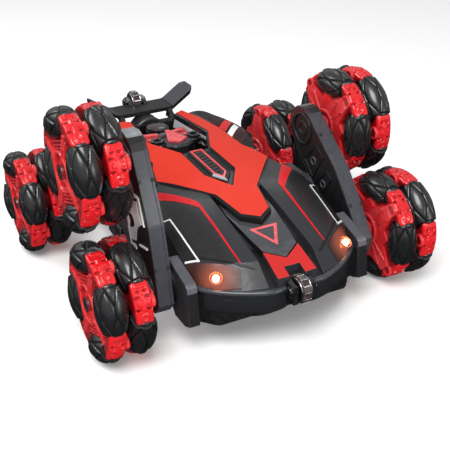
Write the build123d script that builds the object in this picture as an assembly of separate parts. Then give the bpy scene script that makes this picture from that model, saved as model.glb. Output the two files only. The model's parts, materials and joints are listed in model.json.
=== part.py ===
from build123d import *
import os
from math import cos, pi, radians, sin, sqrt

# Six-wheeled stunt car with two swinging side arms.
# Frame: millimetres, +Z up, the car's nose points to -Y, the origin lies on the floor
# under the middle of the whole car. Right-hand pieces are drawn on the +X side and the
# left-hand ones are their mirror images.

# ---- driving dimensions ------------------------------------------------------
wheel_radius = 40.0
axle_height = wheel_radius
wheelbase = 166.0
half_track = 107.7
arm_reach = 85.0                      # front axle to middle axle
arm_angle = {"left": 73.0, "right": 45.0}   # above the floor, towards the rear
wheel_turn = {"left": 20.0, "right": 45.0}  # first outer roller above straight ahead

# omni wheel
rollers_per_row = 4
row_offset = 10.0                     # wheel centre to the middle of a roller row
row_half_width = 9.4
roller_axis_radius = 30.4
roller_half_length = 16.3
roller_end_gap = 0.35
lobe_radius = 39.2
pin_radius = 1.2
pin_half_length = 19.4
hub_half_side = 19.6
hub_pocket_radius = 14.0
hub_pocket_depth = 12.0
hub_join_radius = 12.0
hub_boss_wall = 4.0
hub_boss_depths = (13.0, 5.0)         # below the outer face

# shafts and their running clearance
axle_radius = 3.0
running_gap = 0.05
press_gap = 0.02
axle_flange = 2.0
axle_outer_end = half_track + 14.6
axle_inner_end = 38.0

# swing arm
arm_inner_face = 70.5
arm_split = 76.0
arm_outer_face = 81.5
arm_wall = 2.2
arm_face_wall = 2.0
arm_hub_boss = (5.0, 3.0)             # wall round the axle, height above the outer face
arm_tube_radius = 8.0
arm_tube_end = 51.5
arm_outline = [(-17, 4), (-11, 14), (14.3, 18), (43, 20), (72.5, 16.5), (96, 13),
               (103, 4), (104, -6), (97, -17), (75, -18), (14, -18), (-9, -15), (-17, -5)]
gear_teeth = 20
gear_pitch_radius = arm_reach / 8
gear_face = (74.2, 78.2)
tooth_root, tooth_tip = 1.1, 0.75     # below and above the pitch circle, in modules
tooth_widths = (0.60, 0.40, 0.20)     # at root, pitch circle and tip, in circular pitches
idler_post_radius = 1.5
idler_count = 3

# body
floor_z = 20.0
split_z = 44.0
skin = 2.2
body_half_width = 60.0
turret_radius = 14.5
turret_face = 69.5
tub_half_width = 70.0                 # half widths and heights that reach past the body
above_body = 90.0
# corner guards in front of the turrets, joined to the bumper by a short web
guard_span = (60.5, 67.5)
guard_outline = [(-84, 59), (-110.8, 51.6), (-115.6, 23.5), (-108, 20), (-92, 20), (-84, 30)]
guard_web = ((52, 62), (-112, -103), (24, 43.5))
rear_tube_radius = 9.0
rear_tube_end = 84.0
channel_half_width = 20.0
# side outlines (y, z) of the body above the split line, at growing distance from the middle
channel_outline = [(-134, 44), (-134, 47.5), (-117, 56), (-78, 68), (-26, 76),
                   (50, 78), (106, 77.5), (118, 62), (122, 44)]
fender_outlines = {
    20.0: [(-134, 44), (-132, 47.5), (-119, 60), (-57, 75), (-20, 76.5),
           (50, 78), (106, 77), (118, 62), (122, 44)],
    36.0: [(-126, 44), (-125, 46), (-114, 60), (-57, 75.5), (-20, 76.5),
           (50, 79), (106, 76), (117, 62), (121, 44)],
    50.0: [(-116, 44), (-115, 45), (-105, 57), (-57, 72.5), (-20, 76),
           (50, 80), (104, 75), (114, 62), (117, 44)],
    60.0: [(-104, 44), (-103.5, 44.8), (-96, 55), (-57, 68), (-20, 71),
           (50, 73), (96, 68), (106, 58), (108, 44)],
}
keel_outline = [(-134, 32), (-118, floor_z), (108, floor_z), (122, 30), (122, split_z),
                (-134, split_z)]
keel_room = [(-134, 35), (-117, floor_z + 2.4), (107, floor_z + 2.4), (122, 33),
             (122, 50), (-134, 50)]
lens_plan = [(33, -130), (58, -120), (58, -92), (33, -108)]
lens_heights = (46.5, 64)
lens_gap = 0.15

# small anti-tip rollers at the nose and on the wing
tip_roller_radius = 9.5
tip_roller_width = 8.0
tip_roller_y = 138.5
tip_roller_pin = 1.5
front_roller_z = 44.8
rear_roller_z = 84.0
tip_roller_ribs = 8
tip_rib_gap = 1.8
ear_inner = 4.6
ear_outer = 8.2
ear_end_y = 143.0
front_ear_heights = (37, 49.5)
rear_ear_heights = (79, 89)
notch_depth_y = 128.0
past_nose_y = 150.0

# hood panel: top line (y, z) and plan outline (x, y) of the right half
hood_top = [(-90, 71.6), (-78, 73.7), (-26, 81.8), (14, 84.2), (102, 83.4)]
hood_thickness = 5.0
hood_plan = [(0, -85), (10.6, -78), (15.7, -52), (44.7, -16), (40, 1), (36, 10), (36.5, 50),
             (33, 80), (28, 101), (20.5, 97), (25.6, 46), (12, 14.5), (12.4, -26), (0, -46)]
vent_plan = [(0, -45), (11.9, -26), (11.5, 14.5), (0, 14.5)]
vent_sink = 1.8
vent_frame = ((5.5, -33, 12), (3.0, -26, 8))    # half width, front and rear, outside and inside
slat_count, slat_pitch, slat_width = 9, 3.7, 1.4
nose_plan = [(0, -121), (13.5, -112.5), (18, -116), (15.5, -133.5), (0, -133.5)]
nose_top = [(-134, 53.0), (-112, 61.3)]
nose_thickness = 9.0
nose_fork = (5.5, -125.5)             # half width and depth of the slot for the roller

# engine bay
bay_half_width = 24.0
bay_front = 18.0
bay_rear = 100.0
bay_floor = 64.0
bay_top = 76.5
bay_wall = 1.8
bay_gap = 0.15
scoop_radius, scoop_y, scoop_height = 11.0, 50.0, 15.0
post_radius, post_x, post_y, post_top = 4.6, 15.3, 52.0, 80.0
dome_radius, dome_y, dome_top = 8.5, 86.0, 78.0
grille_x, grille_y, grille_top = (7, 20), (64, 74), 74.0
grille_slots, grille_pitch, grille_slot = 3, 2.8, 1.7

# wing
wing_half_flat = 24.0
wing_half_span = 43.4
wing_z = 84.0
wing_tip_z = 96.5
wing_front = 111.5
wing_rear = 134.8
wing_thickness = 3.0
wing_tip_cut = (3.4, 4.6)             # across and along the car, at each corner of a tip
strut_outline = [(104, 74), (113, 74), (122, wing_z - 1), (112, wing_z - 1)]
strut_span = (19.5, 23.5)

# side plate behind each arm, with a curved slot centred on the arm's pivot
side_plate_outline = [(-58, 40), (-52, 66), (-46, 71), (-16, 71), (-8, 60), (-16, 36), (-50, 34)]
side_plate_thickness = 3.9
side_slot_radii = (57.5, 62.0)
side_slot_window = ((-40, 0), (46, 62))

# gearboxes and their motors
gearbox_x, gearbox_z = (36, 49.5), (27, 53)
gearbox_reach = 9.0                   # past the shaft
motor_offset, motor_z = 20.0, 36.0
motor_radius, motor_inner_end = 8.0, 8.0
arm_drive_x = (50, 55.5)
arm_drive_steps = [((-19, 14), (27, 44)), ((-9, 14), (27, 53))]
arm_motor_radius, arm_motor_inner_end = 5.8, 30.0
arm_motor_y, arm_motor_z = -17.0, 33.0

# lamps
led_radius, led_place, led_heights = 3.5, (47, -104), (45, 49)

# electrics
battery_size = (42.0, 62.0, 17.0)
battery_y = -22.0
cover_size = (46.0, 66.0, 2.4)
cover_gap = 0.2
screw_places = [(24, -112), (50, 10), (44, 104)]
screw_radius, screw_head_radius, screw_boss_radius = 1.35, 2.8, 4.0
board_posts = [(24, 44), (24, 86)]
board_post_radius = 2.6
board_z = 46.0
switch_slot = ((-7, 7), (30, 34))


# ---- helpers -----------------------------------------------------------------
def prism_x(outline, x0, x1):
    """Solid between two X planes with a (y, z) outline."""
    face = Plane.YZ * make_face(Polyline(*outline, close=True))
    return Pos(x0, 0, 0) * extrude(face, x1 - x0, dir=(1, 0, 0))


def prism_y(outline, y0, y1):
    """Solid between two Y planes with an (x, z) outline."""
    points = [Vector(x, 0, z) for x, z in outline]
    face = make_face(Polyline(*points, close=True))
    return Pos(0, y0, 0) * extrude(face, y1 - y0, dir=(0, 1, 0))


def prism_z(outline, z0, z1):
    """Solid between two Z planes with an (x, y) outline."""
    face = make_face(Polyline(*outline, close=True))
    return Pos(0, 0, z0) * extrude(face, z1 - z0, dir=(0, 0, 1))


def block(x, y, z):
    """Box from three (low, high) pairs."""
    size = [b - a for a, b in (x, y, z)]
    middle = [(a + b) / 2 for a, b in (x, y, z)]
    return Pos(*middle) * Box(*size)


def rod(radius, x0, x1, y=0.0, z=0.0):
    """Cylinder along X."""
    return Pos((x0 + x1) / 2, y, z) * Rot(0, 90, 0) * Cylinder(radius, abs(x1 - x0))


def post(radius, x, y, z0, z1):
    """Upright cylinder."""
    return Pos(x, y, (z0 + z1) / 2) * Cylinder(radius, z1 - z0)


def mirrored(shape):
    return mirror(shape, about=Plane.YZ)


def both(shape):
    """The shape and its mirror image, in one list."""
    return [shape, mirrored(shape)]


def full_plan(half):
    """Close a right-half (x, y) outline with its mirror image, in order."""
    return half + [(-x, y) for x, y in reversed(half) if x > 0.01]


def below_line(line, thickness):
    """(y, z) outline of a band of one thickness under a line."""
    return list(line) + [(y, z - thickness) for y, z in reversed(line)]


def solids_of(shapes):
    found = []
    for shape in shapes:
        found += shape.solids()
    return found


def save(name, *shapes):
    """Write one node: a single solid, or a group of separate solids."""
    solids = solids_of(shapes)
    node = solids[0] if len(solids) == 1 else Compound(children=solids)
    node.label = name
    export_step(node, f"parts/{name}.step")


def place(shape, side, y, z):
    """Put a piece drawn about the X axis on its axle, on its side of the car."""
    moved = Pos(0, y, z) * shape
    return moved if side == "right" else mirrored(moved)


# ---- omni wheel, drawn on the right with its axis on X ------------------------
def roller_ring(angle, x):
    """Locations of one row's rollers: each roller's own axis is its local Y."""
    step = 360 / rollers_per_row
    return [Rot(-(angle + step * i), 0, 0) * Pos(x, 0, 0) for i in range(rollers_per_row)]


def roller():
    """Barrel whose crown follows the wheel's round, drawn straight ahead of the axle."""
    end_radius = sqrt(wheel_radius ** 2 - roller_half_length ** 2) - roller_axis_radius
    crown = wheel_radius - roller_axis_radius
    hole = pin_radius + running_gap
    outline = [Line((-roller_half_length, hole), (-roller_half_length, end_radius)),
               ThreePointArc((-roller_half_length, end_radius), (0, crown),
                             (roller_half_length, end_radius)),
               Line((roller_half_length, end_radius), (roller_half_length, hole)),
               Line((roller_half_length, hole), (-roller_half_length, hole))]
    barrel = revolve(make_face(outline), axis=Axis.X)
    return Pos(0, -roller_axis_radius, 0) * Rot(0, -90, 0) * barrel


def roller_pin(radius, half_length):
    return Pos(0, -roller_axis_radius, 0) * Cylinder(radius, 2 * half_length)


def row_frame():
    """Four lobes on a square hub, with the pin holes, centred on its roller row."""
    near = roller_half_length + roller_end_gap
    lobe = block((-row_half_width, row_half_width), (-wheel_radius, -near),
                 (near, wheel_radius))
    lobe &= rod(lobe_radius, -row_half_width, row_half_width)
    frame = block((-row_half_width, row_half_width), (-hub_half_side, hub_half_side),
                  (-hub_half_side, hub_half_side))
    for i in range(rollers_per_row):
        frame += Rot(360 / rollers_per_row * i, 0, 0) * lobe
    frame += rod(hub_join_radius, -row_offset, row_half_width)
    frame -= rod(hub_pocket_radius, row_half_width - hub_pocket_depth, row_half_width + 1)
    frame += rod(axle_radius + hub_boss_wall, *[row_half_width - d for d in hub_boss_depths])
    frame -= rod(axle_radius + press_gap, -2 * row_half_width, 2 * row_half_width)
    for spot in roller_ring(0, 0):
        frame -= spot * roller_pin(pin_radius + running_gap, pin_half_length + 0.2)
    return frame


def wheel_pieces(outer_turn):
    """Named pieces of one wheel about the X axis, outer side towards +X."""
    inner_turn = outer_turn + 180 / rollers_per_row
    frame = row_frame()
    outer = Pos(row_offset, 0, 0) * Rot(-outer_turn, 0, 0) * frame
    inner = Pos(-row_offset, 0, 0) * Rot(-inner_turn, 0, 0) * mirrored(frame)
    spots = roller_ring(outer_turn, row_offset) + roller_ring(inner_turn, -row_offset)
    barrel = roller()
    pin = roller_pin(pin_radius, pin_half_length)
    shift = Pos(half_track, 0, 0)
    return {
        "outer_frame": [shift * outer],
        "inner_frame": [shift * inner],
        "rollers": [shift * spot * barrel for spot in spots],
        "roller_pins": [shift * spot * pin for spot in spots],
    }


# ---- drive gears of the arm ---------------------------------------------------
def spur_gear(bore, turn):
    """Spur gear about X between the gear faces; turn places its first tooth."""
    pitch = 2 * pi * gear_pitch_radius / gear_teeth
    module = 2 * gear_pitch_radius / gear_teeth
    root, tip = gear_pitch_radius - tooth_root * module, gear_pitch_radius + tooth_tip * module
    widths = [(r, w * pitch) for r, w in zip((root - 0.4, gear_pitch_radius, tip), tooth_widths)]
    tooth_outline = [(r, -w / 2) for r, w in widths] + [(r, w / 2) for r, w in reversed(widths)]
    tooth = prism_x(tooth_outline, *gear_face)
    gear = rod(root, *gear_face)
    for i in range(gear_teeth):
        gear += Rot(360 / gear_teeth * i, 0, 0) * tooth
    gear -= rod(bore, gear_face[0] - 1, gear_face[1] + 1)
    return Rot(turn, 0, 0) * gear


def gear_place(index):
    """Distance of a gear along the arm: 0 is the front axle, the last the middle axle."""
    return arm_reach / (idler_count + 1) * index


def gear_turn(index):
    """Every second gear is turned half a tooth, so that the teeth are in mesh."""
    return 180 / gear_teeth * (index % 2)


# ---- swing arm, drawn along +Y about its pivot on the X axis -------------------
def arm_plate(x0, x1, inset=0.0):
    face = make_face(Polyline(*arm_outline, close=True))
    if inset:
        face = offset(face, -inset, kind=Kind.INTERSECTION)
    return Pos(x0, 0, 0) * extrude(Plane.YZ * face, x1 - x0, dir=(1, 0, 0))


def arm_inner_cover():
    """Half shell next to the body, with the pivot tube and the idler posts."""
    hole = axle_radius + running_gap
    cover = arm_plate(arm_inner_face, arm_split)
    cover -= arm_plate(arm_inner_face + arm_face_wall, arm_split + 1, arm_wall)
    cover += rod(arm_tube_radius, arm_tube_end, arm_inner_face + 1)
    for i in range(1, idler_count + 1):
        cover += rod(idler_post_radius, arm_inner_face + 1, arm_outer_face - arm_face_wall,
                     gear_place(i))
    cover -= rod(hole, arm_tube_end - 1, arm_split + 1)
    cover -= rod(hole, arm_inner_face + 0.8, arm_split, arm_reach)
    return cover


def arm_outer_cover():
    """Half shell next to the wheels, with both axle holes and a rubbing boss at each."""
    hole = axle_radius + running_gap
    cover = arm_plate(arm_split, arm_outer_face)
    cover -= arm_plate(arm_split - 1, arm_outer_face - arm_face_wall, arm_wall)
    boss_wall, boss_height = arm_hub_boss
    for y in (0, arm_reach):
        cover += rod(axle_radius + boss_wall, arm_outer_face - 1, arm_outer_face + boss_height, y)
        cover -= rod(hole, arm_split - 1, arm_outer_face + boss_height + 1, y)
    return cover


def axle(inner_end, gear_index=None):
    """Steel shaft with a flanged outer end; a driven arm axle also carries its gear."""
    shaft = rod(axle_radius, inner_end, axle_outer_end)
    shaft += rod(axle_radius + axle_flange, axle_outer_end, axle_outer_end + axle_flange)
    if gear_index is None:
        return [shaft]
    return [shaft, spur_gear(axle_radius, gear_turn(gear_index))]


# ---- body ----------------------------------------------------------------------
def inset_outline(outline, amount):
    """Side outline moved inwards, open at the split line."""
    moved = []
    for y, z in outline:
        inner_z = max(z - amount, split_z - 0.4) if z > split_z else split_z - 1
        moved.append((y + amount if y < 0 else y - amount, inner_z))
    return moved


def body_hull(inset=0.0):
    """Outer (or inset) form of the body above the split line."""
    def shaped(outline):
        return inset_outline(outline, inset) if inset else outline

    places = sorted(fender_outlines)
    ends = places[:-1] + [places[-1] - inset]
    sections = [Pos(x, 0, 0) * (Plane.YZ * make_face(Polyline(*shaped(fender_outlines[key]),
                                                              close=True)))
                for key, x in zip(places, ends)]
    hull = prism_x(shaped(channel_outline), -channel_half_width, channel_half_width)
    side = loft(sections, ruled=True)
    hull += side
    hull += mirrored(side)
    return hull


def plan_outline():
    """Right half of the body seen from above, at the split line."""
    keys = sorted(fender_outlines)
    front = [(x, fender_outlines[x][0][0]) for x in keys]
    rear = [(x, fender_outlines[x][-1][0]) for x in reversed(keys)]
    return [(0, front[0][1])] + front + rear + [(0, rear[-1][1])]


def roller_notch(z0, z1):
    """Space for the nose roller and its ears."""
    return block((-ear_outer - 0.3, ear_outer + 0.3), (-past_nose_y, -notch_depth_y), (z0, z1))


def lens_region(gap=0.0):
    """Corner of the nose that the headlight lens takes up, smaller by a gap at its seams."""
    inner, outer = lens_plan[0][0], lens_plan[1][0]
    plan = [(x + gap if x == inner else x - gap if x == outer else x,
             y - gap if y > -110 else y) for x, y in lens_plan]
    return prism_z(plan, lens_heights[0] + gap, lens_heights[1])


def lower_chassis():
    """Tub with the axle turrets, rear axle tubes, screw bosses, battery bay and nose ears."""
    plan = make_face(Polyline(*full_plan(plan_outline()), close=True))
    tub = extrude(plan, above_body) & prism_x(keel_outline, -tub_half_width, tub_half_width)
    room = offset(plan, -skin, kind=Kind.INTERSECTION)
    tub -= extrude(room, above_body) & prism_x(keel_room, -tub_half_width, tub_half_width)
    front, rear = -wheelbase / 2, wheelbase / 2
    for piece in both(rod(turret_radius, body_half_width - 0.6, turret_face, front, axle_height)):
        tub += piece
    for piece in both(rod(rear_tube_radius, body_half_width - skin, rear_tube_end, rear,
                          axle_height)):
        tub += piece
    for piece in both(prism_x(guard_outline, *guard_span) + block(*guard_web)):
        tub += piece
    for x, y in screw_places:
        for piece in both(post(screw_boss_radius, x, y, floor_z, split_z)):
            tub += piece
    for x, y in board_posts:
        for piece in both(post(board_post_radius, x, y, floor_z + 1, board_z)):
            tub += piece
    ear = block((ear_inner, ear_outer), (-ear_end_y, -notch_depth_y), front_ear_heights)
    for piece in both(ear):
        tub += piece
    tub -= block((-ear_inner, ear_inner), (-past_nose_y, -notch_depth_y), (30, 60))
    tub += block((-ear_outer, ear_outer), (-notch_depth_y, -notch_depth_y + 2.2), (28, split_z))
    cuts = [rod(arm_tube_radius + running_gap, 50, 72, front, axle_height),
            rod(axle_radius + running_gap, 50, 90, rear, axle_height)]
    for x, y in screw_places:
        cuts += [post(screw_radius + 0.15, x, y, floor_z - 1, split_z + 1),
                 post(screw_head_radius + 0.2, x, y, floor_z - 1, floor_z + 3)]
    for cut in cuts:
        for piece in both(cut):
            tub -= piece
    tub -= rod(tip_roller_pin, -12, 12, -tip_roller_y, front_roller_z)
    bay = [s / 2 for s in cover_size]
    through_floor = (floor_z - 5, floor_z + 6)
    tub -= block((-bay[0], bay[0]), (battery_y - bay[1], battery_y + bay[1]), through_floor)
    tub -= block(*switch_slot, through_floor)
    return tub


def upper_shell(hull):
    """Thin wedge-shaped cover, open over the engine bay and at the lens corners."""
    shell = hull - body_hull(skin)
    for x, y in screw_places:
        for piece in both(post(screw_boss_radius, x, y, split_z, above_body) & hull):
            shell += piece
        for piece in both(post(screw_radius + 0.1, x, y, split_z - 1, split_z + 12)):
            shell -= piece
    shell -= block((-bay_half_width, bay_half_width), (bay_front, bay_rear), (55, above_body))
    shell -= roller_notch(40, 60)
    front, rear = -wheelbase / 2, wheelbase / 2
    cuts = [rod(turret_radius + 0.3, body_half_width - 0.9, 80, front, axle_height),
            rod(arm_tube_radius + 0.4, 50, 80, front, axle_height),
            rod(rear_tube_radius + 0.3, 50, 90, rear, axle_height), lens_region()]
    for cut in cuts:
        for piece in both(cut):
            shell -= piece
    return shell


def headlight_lens(hull):
    """Clear corner piece that continues the body's skin."""
    return (hull - body_hull(skin)) & lens_region(lens_gap)


def laid_on(panel, hull):
    """A panel that sits on the body without entering it."""
    return panel - hull


def hood_panel(hull):
    band = prism_x(below_line(hood_top, hood_thickness), -60, 60)
    return laid_on(band & prism_z(full_plan_ring(hood_plan), 60, above_body), hull)


def full_plan_ring(half):
    """Right-half outline whose first and last points lie on the middle line."""
    return half + [(-x, y) for x, y in reversed(half[1:-1])]


def hood_vent(hull):
    """Sunken panel in the hood with a raised frame of slats along it."""
    depth, heights = hood_thickness + 1, (60, above_body)
    low = prism_x(below_line([(y, z - vent_sink) for y, z in hood_top], depth), -20, 20)
    panel = low & prism_z(full_plan_ring(vent_plan), *heights)
    high = prism_x(below_line([(y, z + 0.2) for y, z in hood_top], depth), -20, 20)
    (outer_x, outer_front, outer_rear), (inner_x, inner_front, inner_rear) = vent_frame
    frame = high & block((-outer_x, outer_x), (outer_front, outer_rear), heights)
    frame -= block((-inner_x, inner_x), (inner_front, inner_rear), heights)
    panel += frame
    for i in range(slat_count):
        y = inner_front + 2 + slat_pitch * i
        panel += high & block((-inner_x - 0.2, inner_x + 0.2), (y, y + slat_width), heights)
    return laid_on(panel, hull)


def nose_panel(hull):
    band = prism_x(below_line(nose_top, nose_thickness), -25, 25)
    panel = band & prism_z(full_plan_ring(nose_plan), 40, 70)
    panel -= block((-nose_fork[0], nose_fork[0]), (-past_nose_y, nose_fork[1]), (40, 70))
    panel -= roller_notch(40, 50)
    return laid_on(panel, hull)


def engine_bay_tray():
    """Sunken tray with an eight-sided scoop, two posts and a dome."""
    def bay_block(inset, heights):
        return block((-bay_half_width + inset, bay_half_width - inset),
                     (bay_front + inset, bay_rear - inset), heights)

    tray = bay_block(bay_gap, (bay_floor, bay_top))
    tray -= bay_block(bay_wall, (bay_floor + bay_wall, above_body))
    root = bay_floor + 1
    tray += Pos(0, scoop_y, root) * extrude(RegularPolygon(scoop_radius, 8), scoop_height)
    for piece in both(post(post_radius, post_x, post_y, root, post_top)):
        tray += piece
    tray += post(dome_radius, 0, dome_y, root, dome_top)
    return tray


def engine_grilles():
    """Two slatted inserts behind the scoop."""
    grille = block(grille_x, grille_y, (bay_floor + bay_wall, grille_top))
    for i in range(grille_slots):
        y = grille_y[0] + 1.5 + grille_pitch * i
        grille -= block((grille_x[0] + 1, grille_x[1] - 1), (y, y + grille_slot),
                        (grille_top - 3, grille_top + 1))
    return both(grille)


def rear_spoiler(hull):
    """Wing with raised tips on two struts, and the ears of the rear roller."""
    drop = wing_thickness
    outline = [(-wing_half_span, wing_tip_z), (-wing_half_flat, wing_z), (wing_half_flat, wing_z),
               (wing_half_span, wing_tip_z), (wing_half_span + 1.6, wing_tip_z - drop),
               (wing_half_flat + 1, wing_z - drop), (-wing_half_flat - 1, wing_z - drop),
               (-wing_half_span - 1.6, wing_tip_z - drop)]
    wing = prism_y(outline, wing_front, wing_rear)
    across, along = wing_tip_cut
    tip_x = wing_half_span + 1.6
    wing &= prism_z(full_plan_ring([(0, wing_front), (tip_x - across, wing_front),
                                    (tip_x, wing_front + along), (tip_x, wing_rear - along),
                                    (tip_x - across, wing_rear), (0, wing_rear)]), 60, 120)
    strut = prism_x(strut_outline, *strut_span)
    for piece in both(strut):
        wing += piece - hull
    wing -= block((-ear_inner, ear_inner), (notch_depth_y, past_nose_y), (70, 100))
    ear = block((ear_inner, ear_outer), (notch_depth_y, ear_end_y), rear_ear_heights)
    for piece in both(ear):
        wing += piece
    wing -= rod(tip_roller_pin, -12, 12, tip_roller_y, rear_roller_z)
    return wing


def tip_roller(y, z):
    """Ribbed free-turning roller."""
    wheel = rod(tip_roller_radius, -tip_roller_width / 2, tip_roller_width / 2)
    groove = block((-tip_roller_width, tip_roller_width), (-tip_rib_gap / 2, tip_rib_gap / 2),
                   (tip_roller_radius - 0.8, tip_roller_radius + 1))
    for i in range(tip_roller_ribs):
        wheel -= Rot(360 / tip_roller_ribs * i, 0, 0) * groove
    wheel -= rod(tip_roller_pin + running_gap, -tip_roller_width, tip_roller_width)
    return Pos(0, y, z) * wheel


def gear_motor(y, towards, bore):
    """Closed gearbox around a shaft, with its motor can pointing to the middle of the car."""
    motor_y = y + towards * motor_offset
    span = sorted((y - towards * gearbox_reach, motor_y + towards * (motor_radius + 2)))
    unit = block(gearbox_x, span, gearbox_z)
    unit += rod(motor_radius, motor_inner_end, gearbox_x[0] + 1, motor_y, motor_z)
    unit -= rod(bore, gearbox_x[0] + 1.5, gearbox_x[1] + 1, y, axle_height)
    return unit


def gear_motors():
    """Four wheel drives and two arm drives."""
    front, rear = -wheelbase / 2, wheelbase / 2
    shaft = axle_radius + running_gap
    units = []
    units += both(gear_motor(front, 1, shaft))
    units += both(gear_motor(rear, -1, shaft))
    drive = rod(arm_motor_radius, arm_motor_inner_end, arm_drive_x[0] + 1, front + arm_motor_y,
                arm_motor_z)
    for (near, far), heights in arm_drive_steps:
        drive += block(arm_drive_x, (front + near, front + far), heights)
    drive -= rod(arm_tube_radius + running_gap, arm_drive_x[0] - 1, arm_drive_x[1] + 1, front,
                 axle_height)
    units += both(drive)
    return units


def body_screws():
    screws = []
    for x, y in screw_places:
        screw = post(screw_radius, x, y, floor_z + 1, split_z + 10)
        screw += post(screw_head_radius, x, y, floor_z + 0.6, floor_z + 2.8)
        screws += both(screw)
    return screws


def side_panels():
    """Plates on the body's sides."""
    front = -wheelbase / 2
    inner = body_half_width + 0.1
    plate = prism_x(side_plate_outline, inner, inner + side_plate_thickness)
    span = (inner - 5, inner + side_plate_thickness + 5)
    low, high = [rod(radius, *span, front, axle_height) for radius in side_slot_radii]
    plate -= (high - low) & block(span, *side_slot_window)
    return both(plate)


# ---- build every node -----------------------------------------------------------
os.makedirs("parts", exist_ok=True)
hull = body_hull()

front_y, rear_y = -wheelbase / 2, wheelbase / 2
for side in ("left", "right"):
    wheel = wheel_pieces(wheel_turn[side])
    swing = radians(arm_angle[side])
    middle = (front_y + arm_reach * cos(swing), axle_height + arm_reach * sin(swing))
    axles = {
        "front": ((front_y, axle_height), arm_angle[side], axle(axle_inner_end, 0)),
        "middle": (middle, arm_angle[side], axle(arm_inner_face + 1, idler_count + 1)),
        "rear": ((rear_y, axle_height), 0.0, axle(axle_inner_end)),
    }
    for place_name, ((y, z), turn, shafts) in axles.items():
        for piece_name, solids in wheel.items():
            moved = [place(solid, side, y, z) for solid in solids]
            save(f"{place_name}_{side}_wheel_{piece_name}", *moved)
        turned = [place(Rot(turn, 0, 0) * shaft, side, y, z) for shaft in shafts]
        save(f"{place_name}_{side}_axle", *turned)

    def on_arm(shape):
        return place(Rot(arm_angle[side], 0, 0) * shape, side, front_y, axle_height)

    save(f"{side}_arm_inner_cover", on_arm(arm_inner_cover()))
    save(f"{side}_arm_outer_cover", on_arm(arm_outer_cover()))
    for i in range(1, idler_count + 1):
        idler = spur_gear(idler_post_radius + running_gap, gear_turn(i))
        save(f"{side}_arm_idler_gear_{i}", on_arm(Pos(0, gear_place(i), 0) * idler))

save("lower_chassis", lower_chassis())
save("upper_shell", upper_shell(hull))
save("hood_panel", hood_panel(hull))
save("hood_vent", hood_vent(hull))
save("nose_panel", nose_panel(hull))
save("side_panels", *side_panels())
save("engine_bay_tray", engine_bay_tray())
save("engine_grilles", *engine_grilles())
save("rear_spoiler", rear_spoiler(hull))
save("headlight_lenses", *both(headlight_lens(hull)))
save("headlight_leds", *both(post(led_radius, *led_place, *led_heights)))
save("front_tip_roller", tip_roller(-tip_roller_y, front_roller_z))
save("rear_tip_roller", tip_roller(tip_roller_y, rear_roller_z))
save("tip_roller_pins",
     rod(tip_roller_pin, -ear_outer, ear_outer, -tip_roller_y, front_roller_z),
     rod(tip_roller_pin, -ear_outer, ear_outer, tip_roller_y, rear_roller_z))
save("battery_pack", Pos(0, battery_y, 22.8 + battery_size[2] / 2) * Box(*battery_size))
save("battery_cover", Pos(0, battery_y, floor_z + cover_size[2] / 2)
     * Box(cover_size[0] - 2 * cover_gap, cover_size[1] - 2 * cover_gap, cover_size[2]))
save("circuit_board", block((-28, 28), (40, 90), (board_z, board_z + 1.6)))
save("power_switch", block((-3, 0), (30.5, 33.5), (20.4, 28)))
save("gear_motors", *gear_motors())
save("body_screws", *body_screws())
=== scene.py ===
import json
from functools import lru_cache
from math import cos, exp, hypot, pi, radians, sin, sqrt

import bmesh
import bpy
import numpy as np
from mathutils import Matrix, Vector

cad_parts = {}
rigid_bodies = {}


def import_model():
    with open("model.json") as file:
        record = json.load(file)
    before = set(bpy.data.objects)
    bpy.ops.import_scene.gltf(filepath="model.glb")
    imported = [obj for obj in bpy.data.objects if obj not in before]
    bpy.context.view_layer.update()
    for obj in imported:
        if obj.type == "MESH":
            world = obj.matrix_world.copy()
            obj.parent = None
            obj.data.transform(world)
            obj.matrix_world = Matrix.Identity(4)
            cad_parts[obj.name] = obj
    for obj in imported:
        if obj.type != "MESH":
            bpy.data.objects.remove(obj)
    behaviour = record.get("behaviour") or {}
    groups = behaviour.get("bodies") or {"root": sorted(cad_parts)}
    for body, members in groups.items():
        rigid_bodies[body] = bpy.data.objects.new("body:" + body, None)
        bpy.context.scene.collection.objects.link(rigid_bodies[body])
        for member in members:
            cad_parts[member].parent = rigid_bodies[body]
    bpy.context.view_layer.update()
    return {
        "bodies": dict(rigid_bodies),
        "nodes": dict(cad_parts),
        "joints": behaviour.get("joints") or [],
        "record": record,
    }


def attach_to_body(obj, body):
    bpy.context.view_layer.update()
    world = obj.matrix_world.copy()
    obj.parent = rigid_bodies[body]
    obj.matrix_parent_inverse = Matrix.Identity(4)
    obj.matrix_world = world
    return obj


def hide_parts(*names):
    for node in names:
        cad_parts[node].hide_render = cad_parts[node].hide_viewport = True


# Looks of a six-wheeled stunt car with two swinging side arms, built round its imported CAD.
# Sizes are in millimetres in this script and become metres when a mesh is made. The frame is
# the CAD's: the nose points to -Y, +Z is up. Right-hand pieces are drawn on the +X side.

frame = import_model()

MM = 0.001
SIDES = {"left": -1, "right": 1}
BEVEL_ANGLE, CREASE_ANGLE = 28.0, 40.0      # degrees from which an edge is bevelled or sharp

# ---- sizes shared with the CAD
joint_place = {j["name"]: [c / MM for c in j["pos_m"]] for j in frame["joints"] if "pos_m" in j}
wheel_radius = 40.0
wheel_turn = {"left": 20.0, "right": 45.0}   # first outer roller above straight ahead
further_turn = {"rear_right_wheel": 45.0}    # a wheel that stands further round than its side
row_offset = 10.0
roller_axis_radius = 30.4
roller_half_length = 16.3
rollers_per_row = 4
arm_inner_face, arm_outer_face = 70.5, 81.5
arm_reach = 85.0
front_axle = tuple(joint_place["front_right_wheel_spin"][1:])       # (y, z)


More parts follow.
